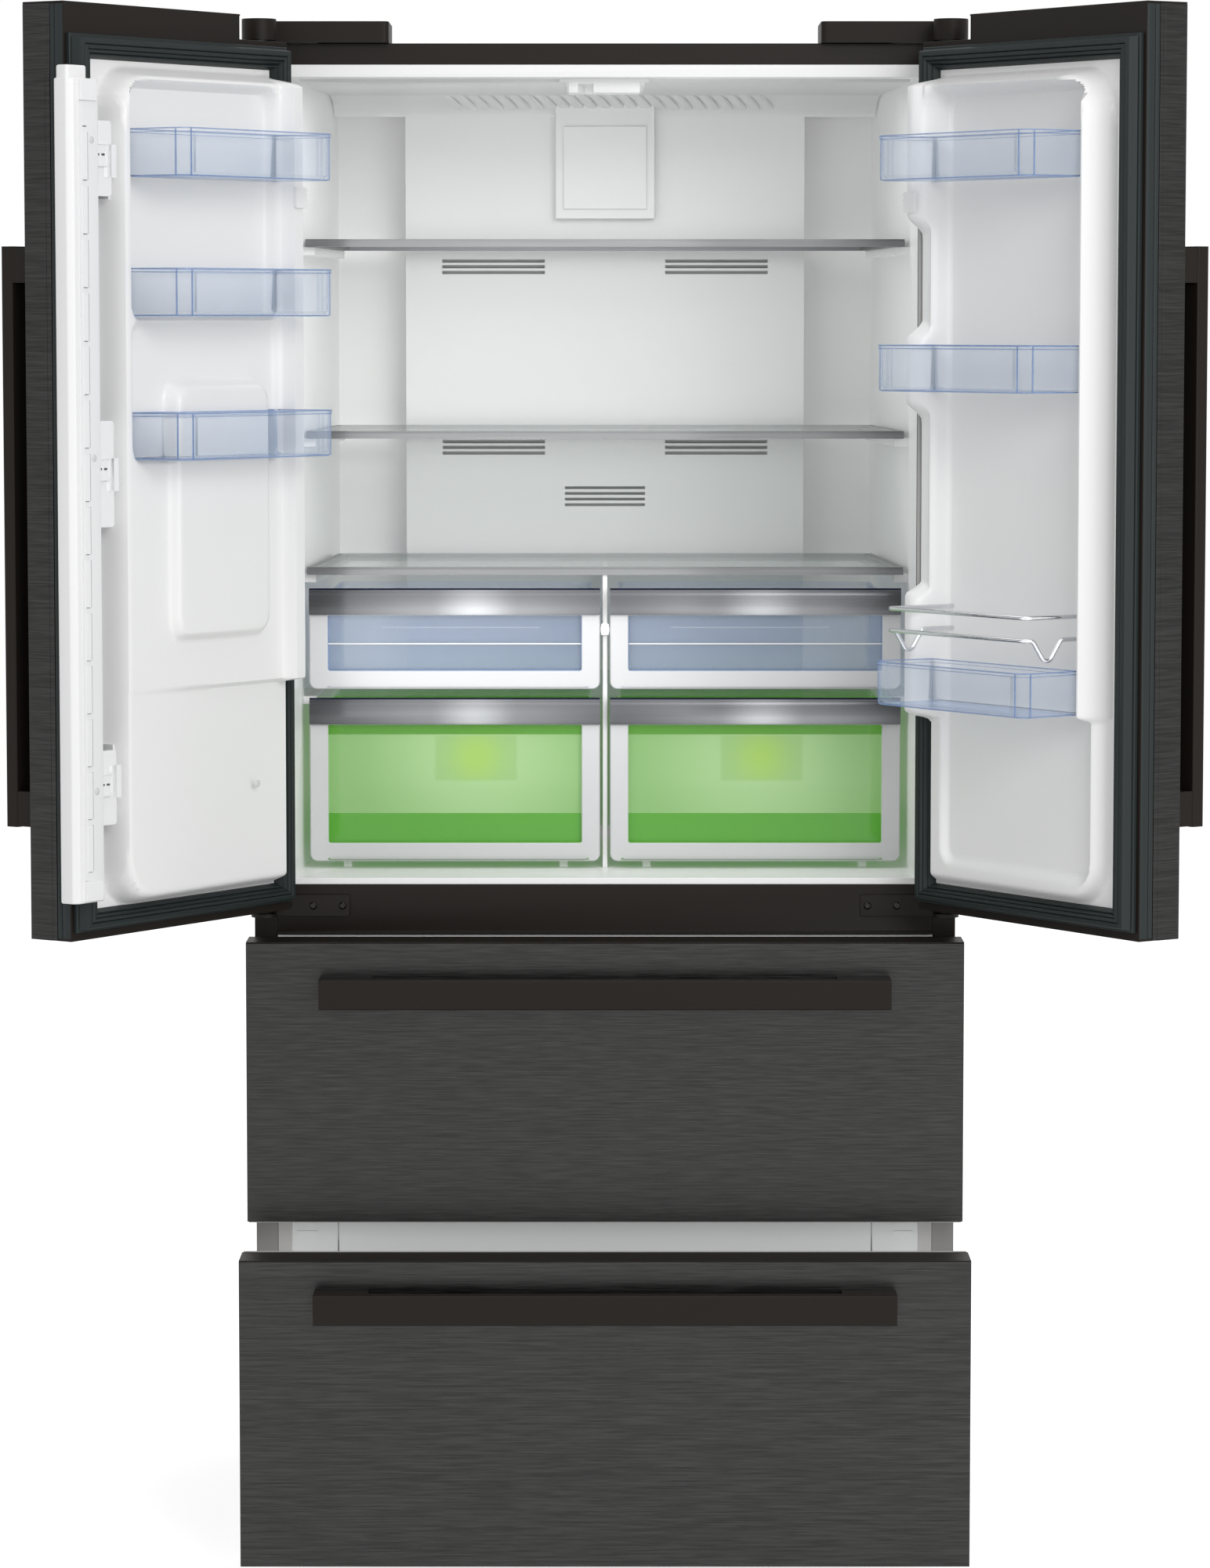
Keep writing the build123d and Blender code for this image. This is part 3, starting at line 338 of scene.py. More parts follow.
# Mesh helpers
def addLoft(shape, loops, closed=False):
    # A body between loops with the same number of points: capped, or closed into a ring
    rings = [[shape.verts.new(point) for point in loop] for loop in loops]
    if closed:
        rings.append(rings[0])
    for first, second in zip(rings, rings[1:]):
        for number in range(len(first)):
            after = (number + 1) % len(first)
            shape.faces.new((first[number], first[after], second[after], second[number]))
    if not closed:
        shape.faces.new(rings[0][::-1])
        shape.faces.new(rings[-1])


def addBox(shape, place, x, y, z):
    # A box between pairs of limits, put in place by the given function
    corners = [(x[0], y[0]), (x[1], y[0]), (x[1], y[1]), (x[0], y[1])]
    addLoft(shape, [[place(a, b, height) for a, b in corners] for height in z])


def boxPiece(name, place, boxes, body, finish, slot=None):
    shape = bmesh.new()
    for box in boxes:
        addBox(shape, place, *box)
    return addPiece(name, shape, body, finish, slot)


def roundedLine(points, radii, segments=5):
    # A closed outline in two dimensions with an arc at each corner
    line = []
    count = len(points)
    for number, (corner, radius) in enumerate(zip(points, radii)):
        corner = Vector(corner)
        before = (Vector(points[number - 1]) - corner).normalized()
        after = (Vector(points[(number + 1) % count]) - corner).normalized()
        if radius <= 0:
            line.append(tuple(corner))
            continue
        half = before.angle(after) / 2
        reach = radius / math.tan(half)
        middle = corner + (before + after).normalized() * radius / math.sin(half)
        start, end = corner + before * reach - middle, corner + after * reach - middle
        turn = start.angle_signed(end)
        for step in range(segments + 1):
            angle = -turn * step / segments
            cos, sin = math.cos(angle), math.sin(angle)
            line.append((middle.x + start.x * cos - start.y * sin,
                         middle.y + start.x * sin + start.y * cos))
    return line


def insetLine(line, distance):
    # The outline moved inwards by a distance, whichever way round it runs
    count = len(line)
    area = sum(line[i - 1][0] * line[i][1] - line[i][0] * line[i - 1][1] for i in range(count))
    way = 1 if area > 0 else -1
    moved = []
    for number in range(count):
        here = Vector(line[number])
        before = (here - Vector(line[number - 1])).normalized()
        after = (Vector(line[(number + 1) % count]) - here).normalized()
        normal = Vector((-(before.y + after.y), before.x + after.x)) * way
        normal.normalize()
        across = Vector((-after.y, after.x)) * way
        moved.append(tuple(here + normal * distance / max(0.4, normal.dot(across))))
    return moved


def smoothed(value):
    value = min(1.0, max(0.0, value))
    return value * value * (3 - 2 * value)


def inBox(x, z, box, soft, corner):
    # 1 inside a rounded rectangle and 0 outside it, with a soft edge between
    halfX, halfZ = (box[1] - box[0]) / 2, (box[3] - box[2]) / 2
    x = abs(x - box[0] - halfX) - halfX + corner
    z = abs(z - box[2] - halfZ) - halfZ + corner
    distance = math.hypot(max(x, 0), max(z, 0)) + min(max(x, z), 0) - corner
    return smoothed(0.5 - distance / soft)


def spread(low, high, edges, fine, coarse):
    # Places along an axis, close together near the edges given
    places = [low]
    while places[-1] < high - 0.01:
        near = min(abs(places[-1] - edge) for edge in edges)
        places.append(min(places[-1] + min(coarse, max(fine, near * 0.45)), high))
    return places


def heights(node):
    # A CAD node's lowest and highest point, in millimetres
    return [corner.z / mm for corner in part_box(node)]


# The cabinet's own axes and the doors' axes, in millimetres
sides = ((1, "left"), (-1, "right"))
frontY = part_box("upper_drawer_skin")[0].y
doorLow, doorHigh = heights("left_door_body")
doorTurn = joints["left_door_hinge"]["range_deg"][1]
door = {"width": 418.0, "thick": 57.0, "skinReturn": 31.0, "insetAlong": 20.6, "insetDeep": 18.2,
        "lowCap": 105.0, "lowCapTop": doorHigh - 28.3, "plate": (doorLow + 9.5, doorHigh - 34.3)}
print("door from", round(doorLow, 1), "to", round(doorHigh, 1))


def cabinetPoint(x, depth, z):
    return Vector((x * mm, frontY + depth * mm, z * mm))


def doorAxes(side):
    # Puts a point of an opened door: along it, in from its outer face, and up
    hinge = joints["left_door_hinge" if side > 0 else "right_door_hinge"]
    turn = math.radians(-side * hinge["range_deg"][1])
    cos, sin = math.cos(turn), math.sin(turn)
    pivot = hinge["pos_m"]

    def place(u, v, z):
        x, y = side * (u - door["insetAlong"]) * mm, (v - door["insetDeep"]) * mm
        return Vector((pivot[0] + x * cos - y * sin, pivot[1] + x * sin + y * cos, z * mm))

    return place


# Door liners
# Each pad: limits along the door, limits in height, level above the plate, soft edge, corner
# A level given twice slopes from the hinge side to the free edge
linerOutline = ((20, 363, 827, 1744), 14, 46)
linerLevels = {"left": 37, "right": 41}
linerPads = {
    "left": [
        ((-90, 500), (600, 1060), (24, 36), 3, 1),
        ((-90, 77), (1060, 1900), 53, 6, 1),
        ((85, 345), (1474, 1731), 19, 9, 16),
        ((85, 345), (1316, 1470), 29, 9, 16),
        ((115, 283), (1118, 1402), 48, 9, 20),
    ],
    "right": [
        ((-90, 500), (600, 1030), (14, 20), 8, 30),
        ((-90, 77), (1018, 1900), 30, 6, 4),
        ((-90, 77), (1580, 1900), 53, 24, 16),
        ((-90, 77), (1369, 1460), 53, 24, 16),
        ((-90, 77), (1018, 1165), 53, 16, 16),
        ((80, 350), (850, 1731), 7, 11, 18),
    ],
}
linerGrid = {"along": (26.0, door["width"] - 8.0), "fine": (2.0, 2.5), "coarse": (9.0, 14.0),
             "skirt": 1.9, "slope": (60, 285), "start": (53, 5)}


def linerLevel(u, z, word):
    level = linerLevels[word]
    near, run = linerGrid["slope"]
    for padU, padZ, height, soft, corner in linerPads[word]:
        if isinstance(height, tuple):
            height = height[0] + (height[1] - height[0]) * smoothed((u - near) / run)
        level += (height - level) * inBox(u, z, (*padU, *padZ), soft, corner)
    start, rise = linerGrid["start"]
    return level * inBox(u, z, *linerOutline) * smoothed((u - start) / rise)


def doorLiner(side, word):
    place = doorAxes(side)
    edgesU = [54, 78, 86, 345, 362] + [edge for pad in linerPads[word] for edge in pad[0]]
    edgesZ = [827, 1744] + [edge for pad in linerPads[word] for edge in pad[1]]
    fine, coarse, plate = linerGrid["fine"], linerGrid["coarse"], door["plate"]
    alongs = spread(*linerGrid["along"], edgesU, fine[0], coarse[0])
    levels = spread(plate[0] + 2, plate[1] - 2, edgesZ, fine[1], coarse[1])
    base = door["thick"]
    body = bmesh.new()
    rows = []
    for z in levels:
        rows.append([body.verts.new(place(u, base + linerLevel(u, z, word), z)) for u in alongs])
    for lower, upper in zip(rows, rows[1:]):
        for number in range(len(alongs) - 1):
            body.faces.new((lower[number], lower[number + 1], upper[number + 1], upper[number]))

    def around(grid):
        # The four edges of a grid as one closed line
        sideways = [row[-1] for row in grid[1:-1]]
        return grid[0] + sideways + grid[-1][::-1] + [row[0] for row in grid[-2:0:-1]]

    rim = around(rows)
    places = around([[(u, z) for u in alongs] for z in levels])
    under = [body.verts.new(place(u, base - linerGrid["skirt"], z)) for u, z in places]
    for number in range(len(rim)):
        after = (number + 1) % len(rim)
        body.faces.new((rim[number], rim[after], under[after], under[number]))
    body.faces.new(under)
    node = word + "_door_liner"
    addPiece(word + "DoorLiner", meshFrom(node, body), word + "_door", "white_liner",
             replaced=node, smooth=50)
    print("liner", word, len(alongs), "by", len(levels))


# Door bodies, edges and seals
# Seal profile: share of the way from its outer to its inner edge, and height
gasketProfile = [
    (0.0, 0.0), (0.0, 3.6), (0.03, 4.8), (0.1, 5.0), (0.14, 7.5), (0.16, 12.0), (0.2, 14.6),
    (0.24, 15.0), (0.38, 15.0), (0.41, 14.4), (0.43, 12.8), (0.45, 14.2), (0.48, 14.8),
    (0.56, 14.8), (0.6, 13.6), (0.62, 11.2), (0.65, 12.4), (0.7, 12.2), (0.76, 9.4),
    (0.79, 7.2), (0.82, 8.6), (0.87, 8.2), (0.94, 4.2), (1.0, 0.6), (1.0, 0.0),
]


def sealRing(word, place, outer, inner):
    # A seal swept round a frame between an outer and an inner rectangle
    loops = []
    for share, height in gasketProfile:
        low, high, foot, top = (a + (b - a) * share for a, b in zip(outer, inner))
        corners = [(low, foot), (high, foot), (high, top), (low, top)]
        loops.append([place(x, door["thick"] + height, z) for x, z in corners])
    shape = bmesh.new()
    addLoft(shape, loops, closed=True)
    addPiece(word + "DoorGasket", shape, word + "_door", "gasket_rubber",
             replaced=word + "_door_gasket", smooth=35)


def doorBody(side, word):
    place = doorAxes(side)
    body, wide, thick = word + "_door", door["width"], door["thick"]
    low, high, cap, capTop = doorLow, doorHigh, door["lowCap"], door["lowCapTop"]
    shape = bmesh.new()
    loops = []
    # The inner corner at the hinge side is cut back
    for v, near in ((1, 1), (thick - 13, 1), (thick - 0.1, 20)):
        outline = [(near, low), (wide - 1, low), (wide - 1, high - 1), (cap + 1, high - 1),
                   (cap + 1, capTop), (near, capTop)]
        loops.append([place(u, v, z) for u, z in outline])
    addLoft(shape, loops)
    addBox(shape, place, (cap, wide), (0, thick), (high - 2, high))
    piece = addPiece(word + "DoorBody", shape, body, "dark_cap",
                     replaced=word + "_door_body", smooth=30)
    rounded(piece, 0.6)
    # Bright strip and grooved black profile down the free edge
    strip = ((wide - 2, wide - 0.1), (door["skinReturn"], 37.6), (low + 1, high - 2.2))
    rounded(boxPiece(word + "EdgeStrip", place, [strip], body, "dark_steel"), 0.4)
    profile = [(3, 38), (0.9, 38), (0.2, 39), (0.2, 43), (1.0, 44), (1.0, 45), (0.2, 46),
               (0.2, 54.5), (1.2, 56.2), (3, 56.2)]
    shape = bmesh.new()
    addLoft(shape, [[place(wide - u, v, z) for u, v in profile] for z in (low + 3, high - 3)])
    addPiece(word + "EdgeProfile", shape, body, "gasket_rubber", smooth=40)
    foot, top = door["plate"]
    sealRing(word, place, (24, wide - 6, foot, top), (52, wide - 41, foot + 24, top - 27))


for side, word in sides:
    doorLiner(side, word)
    doorBody(side, word)
print("doors dressed")


# Balconies
balcony = {"wall": 2.4, "rear": 88.0, "front": 172.0, "near": 83.4, "far": 346.6, "lip": 1.0,
           "flare": 2.5, "steps": (99.4, 107.4, 328.6)}
balconyHeights = {"left": ((1628.5, 1681.5), (1476.0, 1529.0), (1318.3, 1370.5)),
                  "right": ((1628.5, 1679.5), (1391.5, 1444.0), (1035.0, 1085.0))}


def addTray(shape, place, line, low, high, wall, flare, lip):
    # An open tray: outside, rim with a small lip, inside and floor
    inner = insetLine(line, wall)
    loops = [
        (line, flare + 3, low), (line, flare, low + 1.2), (line, flare * 0.8, low + 4),
        (line, lip, high - 4), (line, 0, high - 3.2), (line, 0, high - 0.5), (line, 0.5, high),
        (inner, lip - 0.5, high), (inner, lip, high - 0.6), (inner, flare * 0.8, low + 6),
        (inner, flare + 3, low + wall),
    ]
    addLoft(shape, [[place(x, y, z) for x, y in (insetLine(edge, inset) if inset else edge)]
                    for edge, inset, z in loops])


def balconyLine(notch):
    near, far, rear, front = balcony["near"], balcony["far"], balcony["rear"], balcony["front"]
    corners = [(near, rear), (near - 7, front), (far + 7, front), (far, rear)]
    radii = [1.5, 15, 15, 1.5]
    if notch:
        corners += [(290, rear), (286, 109.5), (112, 109.5), (108, rear)]
        radii += [3, 7, 7, 3]
    return roundedLine(corners, radii)


def balconies(side, word):
    place = doorAxes(side)
    near, far, rear, front = balcony["near"], balcony["far"], balcony["rear"], balcony["front"]
    trays, edges = bmesh.new(), bmesh.new()
    for number, (low, high) in enumerate(balconyHeights[word]):
        line = balconyLine(word == "left" and number == 2)
        addTray(trays, place, line, low, high, balcony["wall"], balcony["flare"], balcony["lip"])
        # Steps moulded across the front wall near its corners
        for u in balcony["steps"]:
            addBox(trays, place, (u - 0.7, u + 0.7), (front - 5.6, front - 3), (low + 5, high - 5))
        # Deeper blue where the plastic is seen edge on: rim, foot and upright corners
        foot = insetLine(line, balcony["flare"])
        for outer, z, tall in ((line, high - 1.3, 1.5), (line, high - 4.6, 0.6),
                               (foot, low + 0.4, 1.3)):
            inner, outer = insetLine(outer, 1.3), insetLine(outer, -0.15)
            loops = ((outer, z), (outer, z + tall), (inner, z + tall), (inner, z))
            ring = [[place(x, y, level) for x, y in loop] for loop, level in loops]
            addLoft(edges, ring, closed=True)
        for u, v in ((far - 0.4, rear + 0.5), (far + 5.4, front - 12), (far - 8, front - 0.9),
                     (near - 5.4, front - 10)):
            addBox(edges, place, (u - 0.7, u + 0.7), (v - 0.7, v + 0.7), (low + 1, high - 1))
    addPiece(word + "Balconies", trays, word + "_door", "clear_blue",
             replaced=word + "_balconies", smooth=35)
    addPiece(word + "BalconyEdges", edges, word + "_door", "edge_blue", "clear_blue", smooth=35)


for side, word in sides:
    balconies(side, word)
print("balconies made")


# What repeats: Geometry Nodes that set a bar or a screw along a line
class Grower:
    # A tree with named inputs; every node comes from one method, settings first
    def __init__(self, name, inputs):
        self.tree = bpy.data.node_groups.new(name, "GeometryNodeTree")
        sockets = {"Geometry": "Geometry", "Start": "Vector", "Pitch": "Vector", "Turn": "Vector",
                   "Count": "Int", **inputs, "Finish": "Material"}
        for socket, kind in sockets.items():
            self.addSocket(socket, "INPUT", kind)
        self.addSocket("Geometry", "OUTPUT", "Geometry")
        self.given = self.tree.nodes.new("NodeGroupInput").outputs

    def addSocket(self, name, way, kind):
        face = self.tree.interface
        face.new_socket(name, in_out=way, socket_type="NodeSocket" + kind)

    def node(self, kind, inputs, **settings):
        made = self.tree.nodes.new(kind)
        for setting, value in settings.items():
            setattr(made, setting, value)
        for socket, value in inputs.items():
            if isinstance(value, bpy.types.NodeSocket):
                self.tree.links.new(value, made.inputs[socket])
            else:
                made.inputs[socket].default_value = value
        return made.outputs

    def shape(self, kind, inputs, **settings):
        return self.node("GeometryNode" + kind, inputs, **settings)[0]

    def part(self, socket, share):
        inputs = {0: socket, 1: share}
        return self.node("ShaderNodeMath", inputs, operation="MULTIPLY")[0]

    def along(self, thing):
        # One real copy of the thing at each place of the line, with its finish
        given = self.given
        line = {"Count": given["Count"], "Start Location": given["Start"], "Offset": given["Pitch"]}
        line = self.shape("MeshLine", line, mode="OFFSET")
        spots = {"Points": line, "Instance": thing, "Rotation": given["Turn"]}
        real = self.shape("RealizeInstances", {0: self.shape("InstanceOnPoints", spots)})
        painted = self.shape("SetMaterial", {0: real, "Material": given["Finish"]})
        self.node("NodeGroupOutput", {0: painted})
        return self.tree


def rowTree():
    # Rounded bars: each is a rounded outline pulled along Y
    grower = Grower("barRow", {"Size": "Vector", "Corner": "Float"})
    given = grower.given
    size = grower.node("ShaderNodeSeparateXYZ", {0: given["Size"]})
    outline = grower.shape("CurvePrimitiveQuadrilateral", {"Width": size["X"], "Height": size["Z"]})
    fillet = {"Curve": outline, "Radius": given["Corner"], "Count": 3, "Limit Radius": True}
    outline = grower.shape("FilletCurve", fillet, mode="POLY")
    ends = [grower.node("ShaderNodeCombineXYZ", {"Y": grower.part(size["Y"], share)})[0]
            for share in (-0.5, 0.5)]
    path = grower.shape("CurvePrimitiveLine", {"Start": ends[0], "End": ends[1]})
    pulled = {"Curve": path, "Profile Curve": outline, "Fill Caps": True}
    return grower.along(grower.shape("CurveToMesh", pulled))


def screwTree():
    # Domed screws of two cones, each as a share of the radius and the height
    grower = Grower("screwRow", {"Radius": "Float", "Height": "Float"})
    radius, height = grower.given["Radius"], grower.given["Height"]
    joined = grower.tree.nodes.new("GeometryNodeJoinGeometry")
    for low, high, foot, top in ((0.0, 0.55, 1.0, 0.92), (0.55, 1.0, 0.92, 0.62)):
        cone = {"Vertices": 24, "Radius Bottom": grower.part(radius, foot),
                "Radius Top": grower.part(radius, top), "Depth": grower.part(height, high - low)}
        base = grower.node("ShaderNodeCombineXYZ", {"Z": grower.part(height, low)})[0]
        move = {"Geometry": grower.shape("MeshCone", cone), "Translation": base}
        grower.tree.links.new(grower.shape("Transform", move), joined.inputs[0])
    return grower.along(joined.outputs[0])


def row(start, pitch=(0, 0, 1), turn=(0.0, 0.0, 0.0), count=1, **sizes):
    # Inputs of one row: its first place, and lengths in millimetres
    values = {"Start": tuple(start), "Turn": turn, "Count": count}
    for name, size in {"pitch": pitch, **sizes}.items():
        single = isinstance(size, (int, float))
        values[name.capitalize()] = size * mm if single else tuple(side * mm for side in size)
    return values


def grown(tree, rows, name, body, finish, slot=None, replaced=None):
    # Runs a tree once for each row and joins the plain meshes into one piece
    shape = bmesh.new()
    for values in rows:
        holder = bpy.data.objects.new(name + "Source", bpy.data.meshes.new(name + "Source"))
        bpy.context.scene.collection.objects.link(holder)
        modifier = holder.modifiers.new("row", "NODES")
        modifier.node_group = tree
        for item in tree.interface.items_tree:
            if item.in_out == "INPUT" and item.name in values:
                modifier[item.identifier] = values[item.name]
            elif item.name == "Finish":
                modifier[item.identifier] = finishes[finish].material
        graph = bpy.context.evaluated_depsgraph_get()
        made = bpy.data.meshes.new_from_object(holder.evaluated_get(graph), depsgraph=graph)
        holder.modifiers.clear()
        bpy.data.objects.remove(holder)
        shape.from_mesh(made)
        bpy.data.meshes.remove(made)
    addPiece(name, shape, body, finish, slot, replaced, smooth=35)


barRow, screwRow = rowTree(), screwTree()


# Drawers inside the fridge; the bow is the pull bar's section, out from its front and up
innerDrawer = {"near": 6.0, "far": 354.0, "front": 180.0, "back": 545.0, "frame": 22.0,
               "bar": 32.0, "wall": 2.5, "bow": ((0, 0), (5.4, 0.4), (6.6, 3), (7, 12), (7, 23),
                                                 (6.2, 29), (4, 31.4), (0, 32))}
drawerBodies = {"left_chill_drawer": "left_chill", "right_chill_drawer": "right_chill",
                "left_crisper": "left_crisper_box", "right_crisper": "right_crisper_box"}
# Painted light on the inner drawers: where the painted highlight runs down each bar and where the
# lamp sits behind each green window, across in metres; the lamp's drop below the bar and its half
# sizes, in millimetres; and the strength of the windows' painted glow
drawerLight = {"bars": (-0.156, 0.188), "lamps": (-0.155, 0.188), "lampDrop": 41.0,
               "lampHalf": (48.6, 26.6), "glow": 0.3}
# Bar tones: plain steel, painted highlight, painted shade at the top (also used for the grain), and
# the line along the top edge
barTones = {"dark": (0.115, 0.118, 0.125), "bright": (0.46, 0.47, 0.485),
            "low": (0.05, 0.05, 0.056), "lip": (0.012, 0.016, 0.06)}
# Greens: the side, the middle paled by painted light, the lamp cover, the painted lamp glow, the
# foot and the top band
greens = {"side": (0.26, 0.46, 0.18), "middle": (0.38, 0.57, 0.28), "cover": (0.32, 0.51, 0.21),
          "lamp": (0.37, 0.57, 0.12), "foot": (0.10, 0.35, 0.04), "top": (0.10, 0.31, 0.035)}


def barFinish(name, low, high):
    # Brushed bar with one narrow painted highlight, painted shade growing towards the top, and a
    # dark line at the top edge
    finish = brushedFinish(name + "Steel", (0.2, 0.2, 0.21), 0.3, 5.0, 1600.0, 0.08)
    # Painted highlight: a narrow core and a wide skirt round a line down each bar
    gap = finish.near("X", drawerLight["bars"])
    paintedShine = finish.step(gap, 0.055, 0.0) * 0.62 + finish.step(gap, 0.19, 0.02) * 0.38
    # Painted shade: 1 at the foot of the bar and 0 at its top, where the bar darkens and the
    # painted highlight fades
    rise = finish.step(finish.axis("Z"), (high - 1) * mm, (low + 6) * mm)
    lip = finish.step(finish.axis("Z"), (high - 2.2) * mm, (high - 1.2) * mm)
    hair = finish.noise(1.0, (5, 5, 1600), detail=3.0)
    steel = finish.mix(paintedShine * (0.7 + rise * 0.3), barTones["dark"], barTones["bright"])
    steel = finish.mix((1 - rise) * 0.45 + hair * 0.12, steel, barTones["low"])
    finish.feed("Base Color", finish.mix(lip, steel, barTones["lip"]))
    return finish


def greenFinish(name, top):
    # Green plastic with painted light from a lamp behind it: paler in a painted pool round the
    # lamp, the lamp cover showing with a painted glow spot, a dark band on top and a deeper foot
    finish = clearFinish(name + "Clear", (0.2, 0.45, 0.1), 0.6, 0.8)
    height = finish.axis("Z")
    lampZ = (top - drawerLight["lampDrop"]) * mm
    across, up = finish.near("X", drawerLight["lamps"]), finish.near("Z", [lampZ])
    masks = [finish.step(gap, half * mm + 0.003, half * mm - 0.002)
             for gap, half in zip((across, up), drawerLight["lampHalf"])]
    inside = masks[0] * masks[1]
    distance = (across * across + up * up) ** 0.5
    # Painted glow spot on the lamp cover, within 50 mm of the lamp
    lamp = inside * finish.step(distance, 0.05, 0.0) * 0.9
    foot = finish.step(height, (top - 107) * mm, (top - 108) * mm)
    band = finish.step(height, (top - 13) * mm, (top - 12.2) * mm)
    # Painted light: the side green turns to the paler middle green within 160 mm of the lamp
    color = finish.mix(finish.step(distance, 0.16, 0.03), greens["side"], greens["middle"])
    for share, tone in ((inside, "cover"), (lamp, "lamp"), (foot, "foot"), (band, "top")):
        color = finish.mix(share, color, greens[tone])
    finish.feed("Base Color", color)
    # The whole window glows in its own colour: painted light from the lamp behind it
    finish.glow(color, drawerLight["glow"])
    return finish


def drawerPieces(node, body):
    side = -1 if node.startswith("left") else 1
    low, high = heights(node)
    names = ("near", "far", "front", "back", "frame")
    near, far, front, back, frame = (innerDrawer[name] for name in names)
    barLow = high - innerDrawer["bar"]
    left, right, foot = near + frame, far - frame, low + frame
    green = "crisper" in node
    stem = node.replace("_", " ").title().replace(" ", "")
    stem = stem[0].lower() + stem[1:]

    def place(x, depth, z):
        return cabinetPoint(side * x, depth, z)

    # White front frame round the window
    top, frameTop = barLow - 0.5, barLow + 2
    outer = roundedLine([(near, low), (far, low), (far, frameTop), (near, frameTop)], [9, 9, 1, 1])
    window = roundedLine([(left, foot), (right, foot), (right, top), (left, top)], [2.5, 2.5, 1, 1])
    loops = ((insetLine(outer, 1.0), 6), (outer, 5), (outer, 1.5), (insetLine(outer, 1.2), 0),
             (insetLine(window, -1.0), 0), (window, 1), (window, 6))
    shape = bmesh.new()
    addLoft(shape, [[place(x, front + depth, z) for x, z in loop] for loop, depth in loops],
            closed=True)
    addPiece(stem + "Frame", shape, body, "drawer_frame", "white_liner", smooth=35)
    # Metal pull bar, bowed at the front
    shape = bmesh.new()
    addLoft(shape, [[place(x, front - depth, barLow + rise) for depth, rise in innerDrawer["bow"]]
                    for x in (near, far)])
    addPiece(stem + "Bar", shape, body, barFinish(stem + "Bar", barLow, high), "shelf_trim",
             smooth=50)
    # Clear tray with the window as its front wall
    face, end = front + 6.2, far - 18
    line = roundedLine([(near + 10, face), (near + 10, back), (end, back), (end, face)],
                       [2, 14, 14, 2])
    shape = bmesh.new()
    addTray(shape, place, line, low, high - 10, innerDrawer["wall"], 2.5, 1.0)
    clear = greenFinish(stem, barLow) if green else finishes["chill_clear"]
    addPiece(stem, shape, body, clear, "clear_drawer", node, smooth=35)
    # Edges of the clear front wall, seen dark round the window
    depth, upright = (front + 5.2, front + 6.1), (low + 20, barLow)
    edges = [((left, left + 1.2), depth, upright), ((right - 1.2, right), depth, upright),
             ((left, right), depth, (foot, foot + 1.1))]
    boxPiece(stem + "Edges", place, edges, body, clear if green else "edge_blue", "clear_drawer")
    if green:
        return
    # Bright step along the window, the rear rim seen through it, and ribs on the floor; step and
    # rim take the lamp covers' finish with its faint painted glow
    middle = low + (barLow - low) * 0.6
    steps = [((left + 0.5, right - 0.5), (front + 4.4, front + 6), (middle, middle + 1.7)),
             ((near + 76, far - 72), (back - 60, back - 57), (middle + 2, middle + 3.6))]
    boxPiece(stem + "Steps", place, steps, body, "lamp_cover", "clear_drawer")
    ribs = row(place(near + 60, front + 120, low + 3.2), (side * 46, 0, 0),
               (0.0, 0.0, side * -0.12), 6, size=(13, 190, 4), corner=1.5)
    grown(barRow, [ribs], stem + "Ribs", body, "clear_blue", "clear_drawer")


for node, body in drawerBodies.items():
    drawerPieces(node, body)
# Clip on the divider between the chill drawers
clip = [((-4.6, 4.6), (181.5, 190), (1096.5, 1110)), ((-5.6, 5.6), (183, 189), (1099.5, 1106.5))]
rounded(boxPiece("dividerClip", cabinetPoint, clip, "cabinet", "white_liner"), 0.8)
print("inner drawers made")


# Screws on the hinges: two on each front plate, two on each top plate
hinge = {"x": 399.4, "front": (54.7, 89.4), "frontDepth": 69.4, "frontZ": doorLow - 4.3,
         "top": 49.0, "topDepths": (95, 135), "topZ": doorHigh - 21.3}
quarter = math.radians(90)
screws = []
for side in (-1, 1):
    near, far = (side * (hinge["x"] - reach) for reach in hinge["front"])
    screws.append(row(cabinetPoint(near, hinge["frontDepth"], hinge["frontZ"]), (far - near, 0, 0),
                      (quarter, 0.0, 0.0), 2, radius=4.6, height=2.4))
for side in (-1, 1):
    first, second = hinge["topDepths"]
    screws.append(row(cabinetPoint(side * (hinge["x"] - hinge["top"]), first, hinge["topZ"]),
                      (0, second - first, 0), count=2, radius=6, height=4))
grown(screwRow, screws, "hingeScrews", "cabinet", "screw_steel", replaced="hinge_screws")

# The ceiling sweeps down to the top of the duct in a cove, with ribs moulded across it
ceiling = {"z": heights("interior_lamps")[1], "ribs": 24, "ribPitch": 17.0, "ribLean": -0.30,
           "ribDepth": (492, 572), "cove": (480, 574, 577), "coveSteps": 8}
ductTop = heights("duct_panel")[1]
start, end, back = ceiling["cove"]
sweep = []
for step in range(ceiling["coveSteps"] + 1):
    turn = quarter * step / ceiling["coveSteps"]
    sweep.append((start + (end - start) * math.sin(turn),
                  ductTop - 6 + (ceiling["z"] + 6 - ductTop) * math.cos(turn)))
sweep += [(back, ductTop - 6), (back, ceiling["z"] + 0.5), (start, ceiling["z"] + 0.5)]
shape = bmesh.new()
addLoft(shape, [[cabinetPoint(side * (367 - 29 * depth / 640), depth, z) for depth, z in sweep]
                for side in (-1, 1)])
addPiece("ceilingCove", shape, "cabinet", "white_liner", smooth=35)
first, last = ceiling["ribDepth"]
lean = math.atan2(ceiling["z"] - ductTop, last - first)
middle = cabinetPoint(-(ceiling["ribs"] - 1) * ceiling["ribPitch"] / 2, (first + last) / 2,
                      (ceiling["z"] + ductTop) / 2 + 4.6)
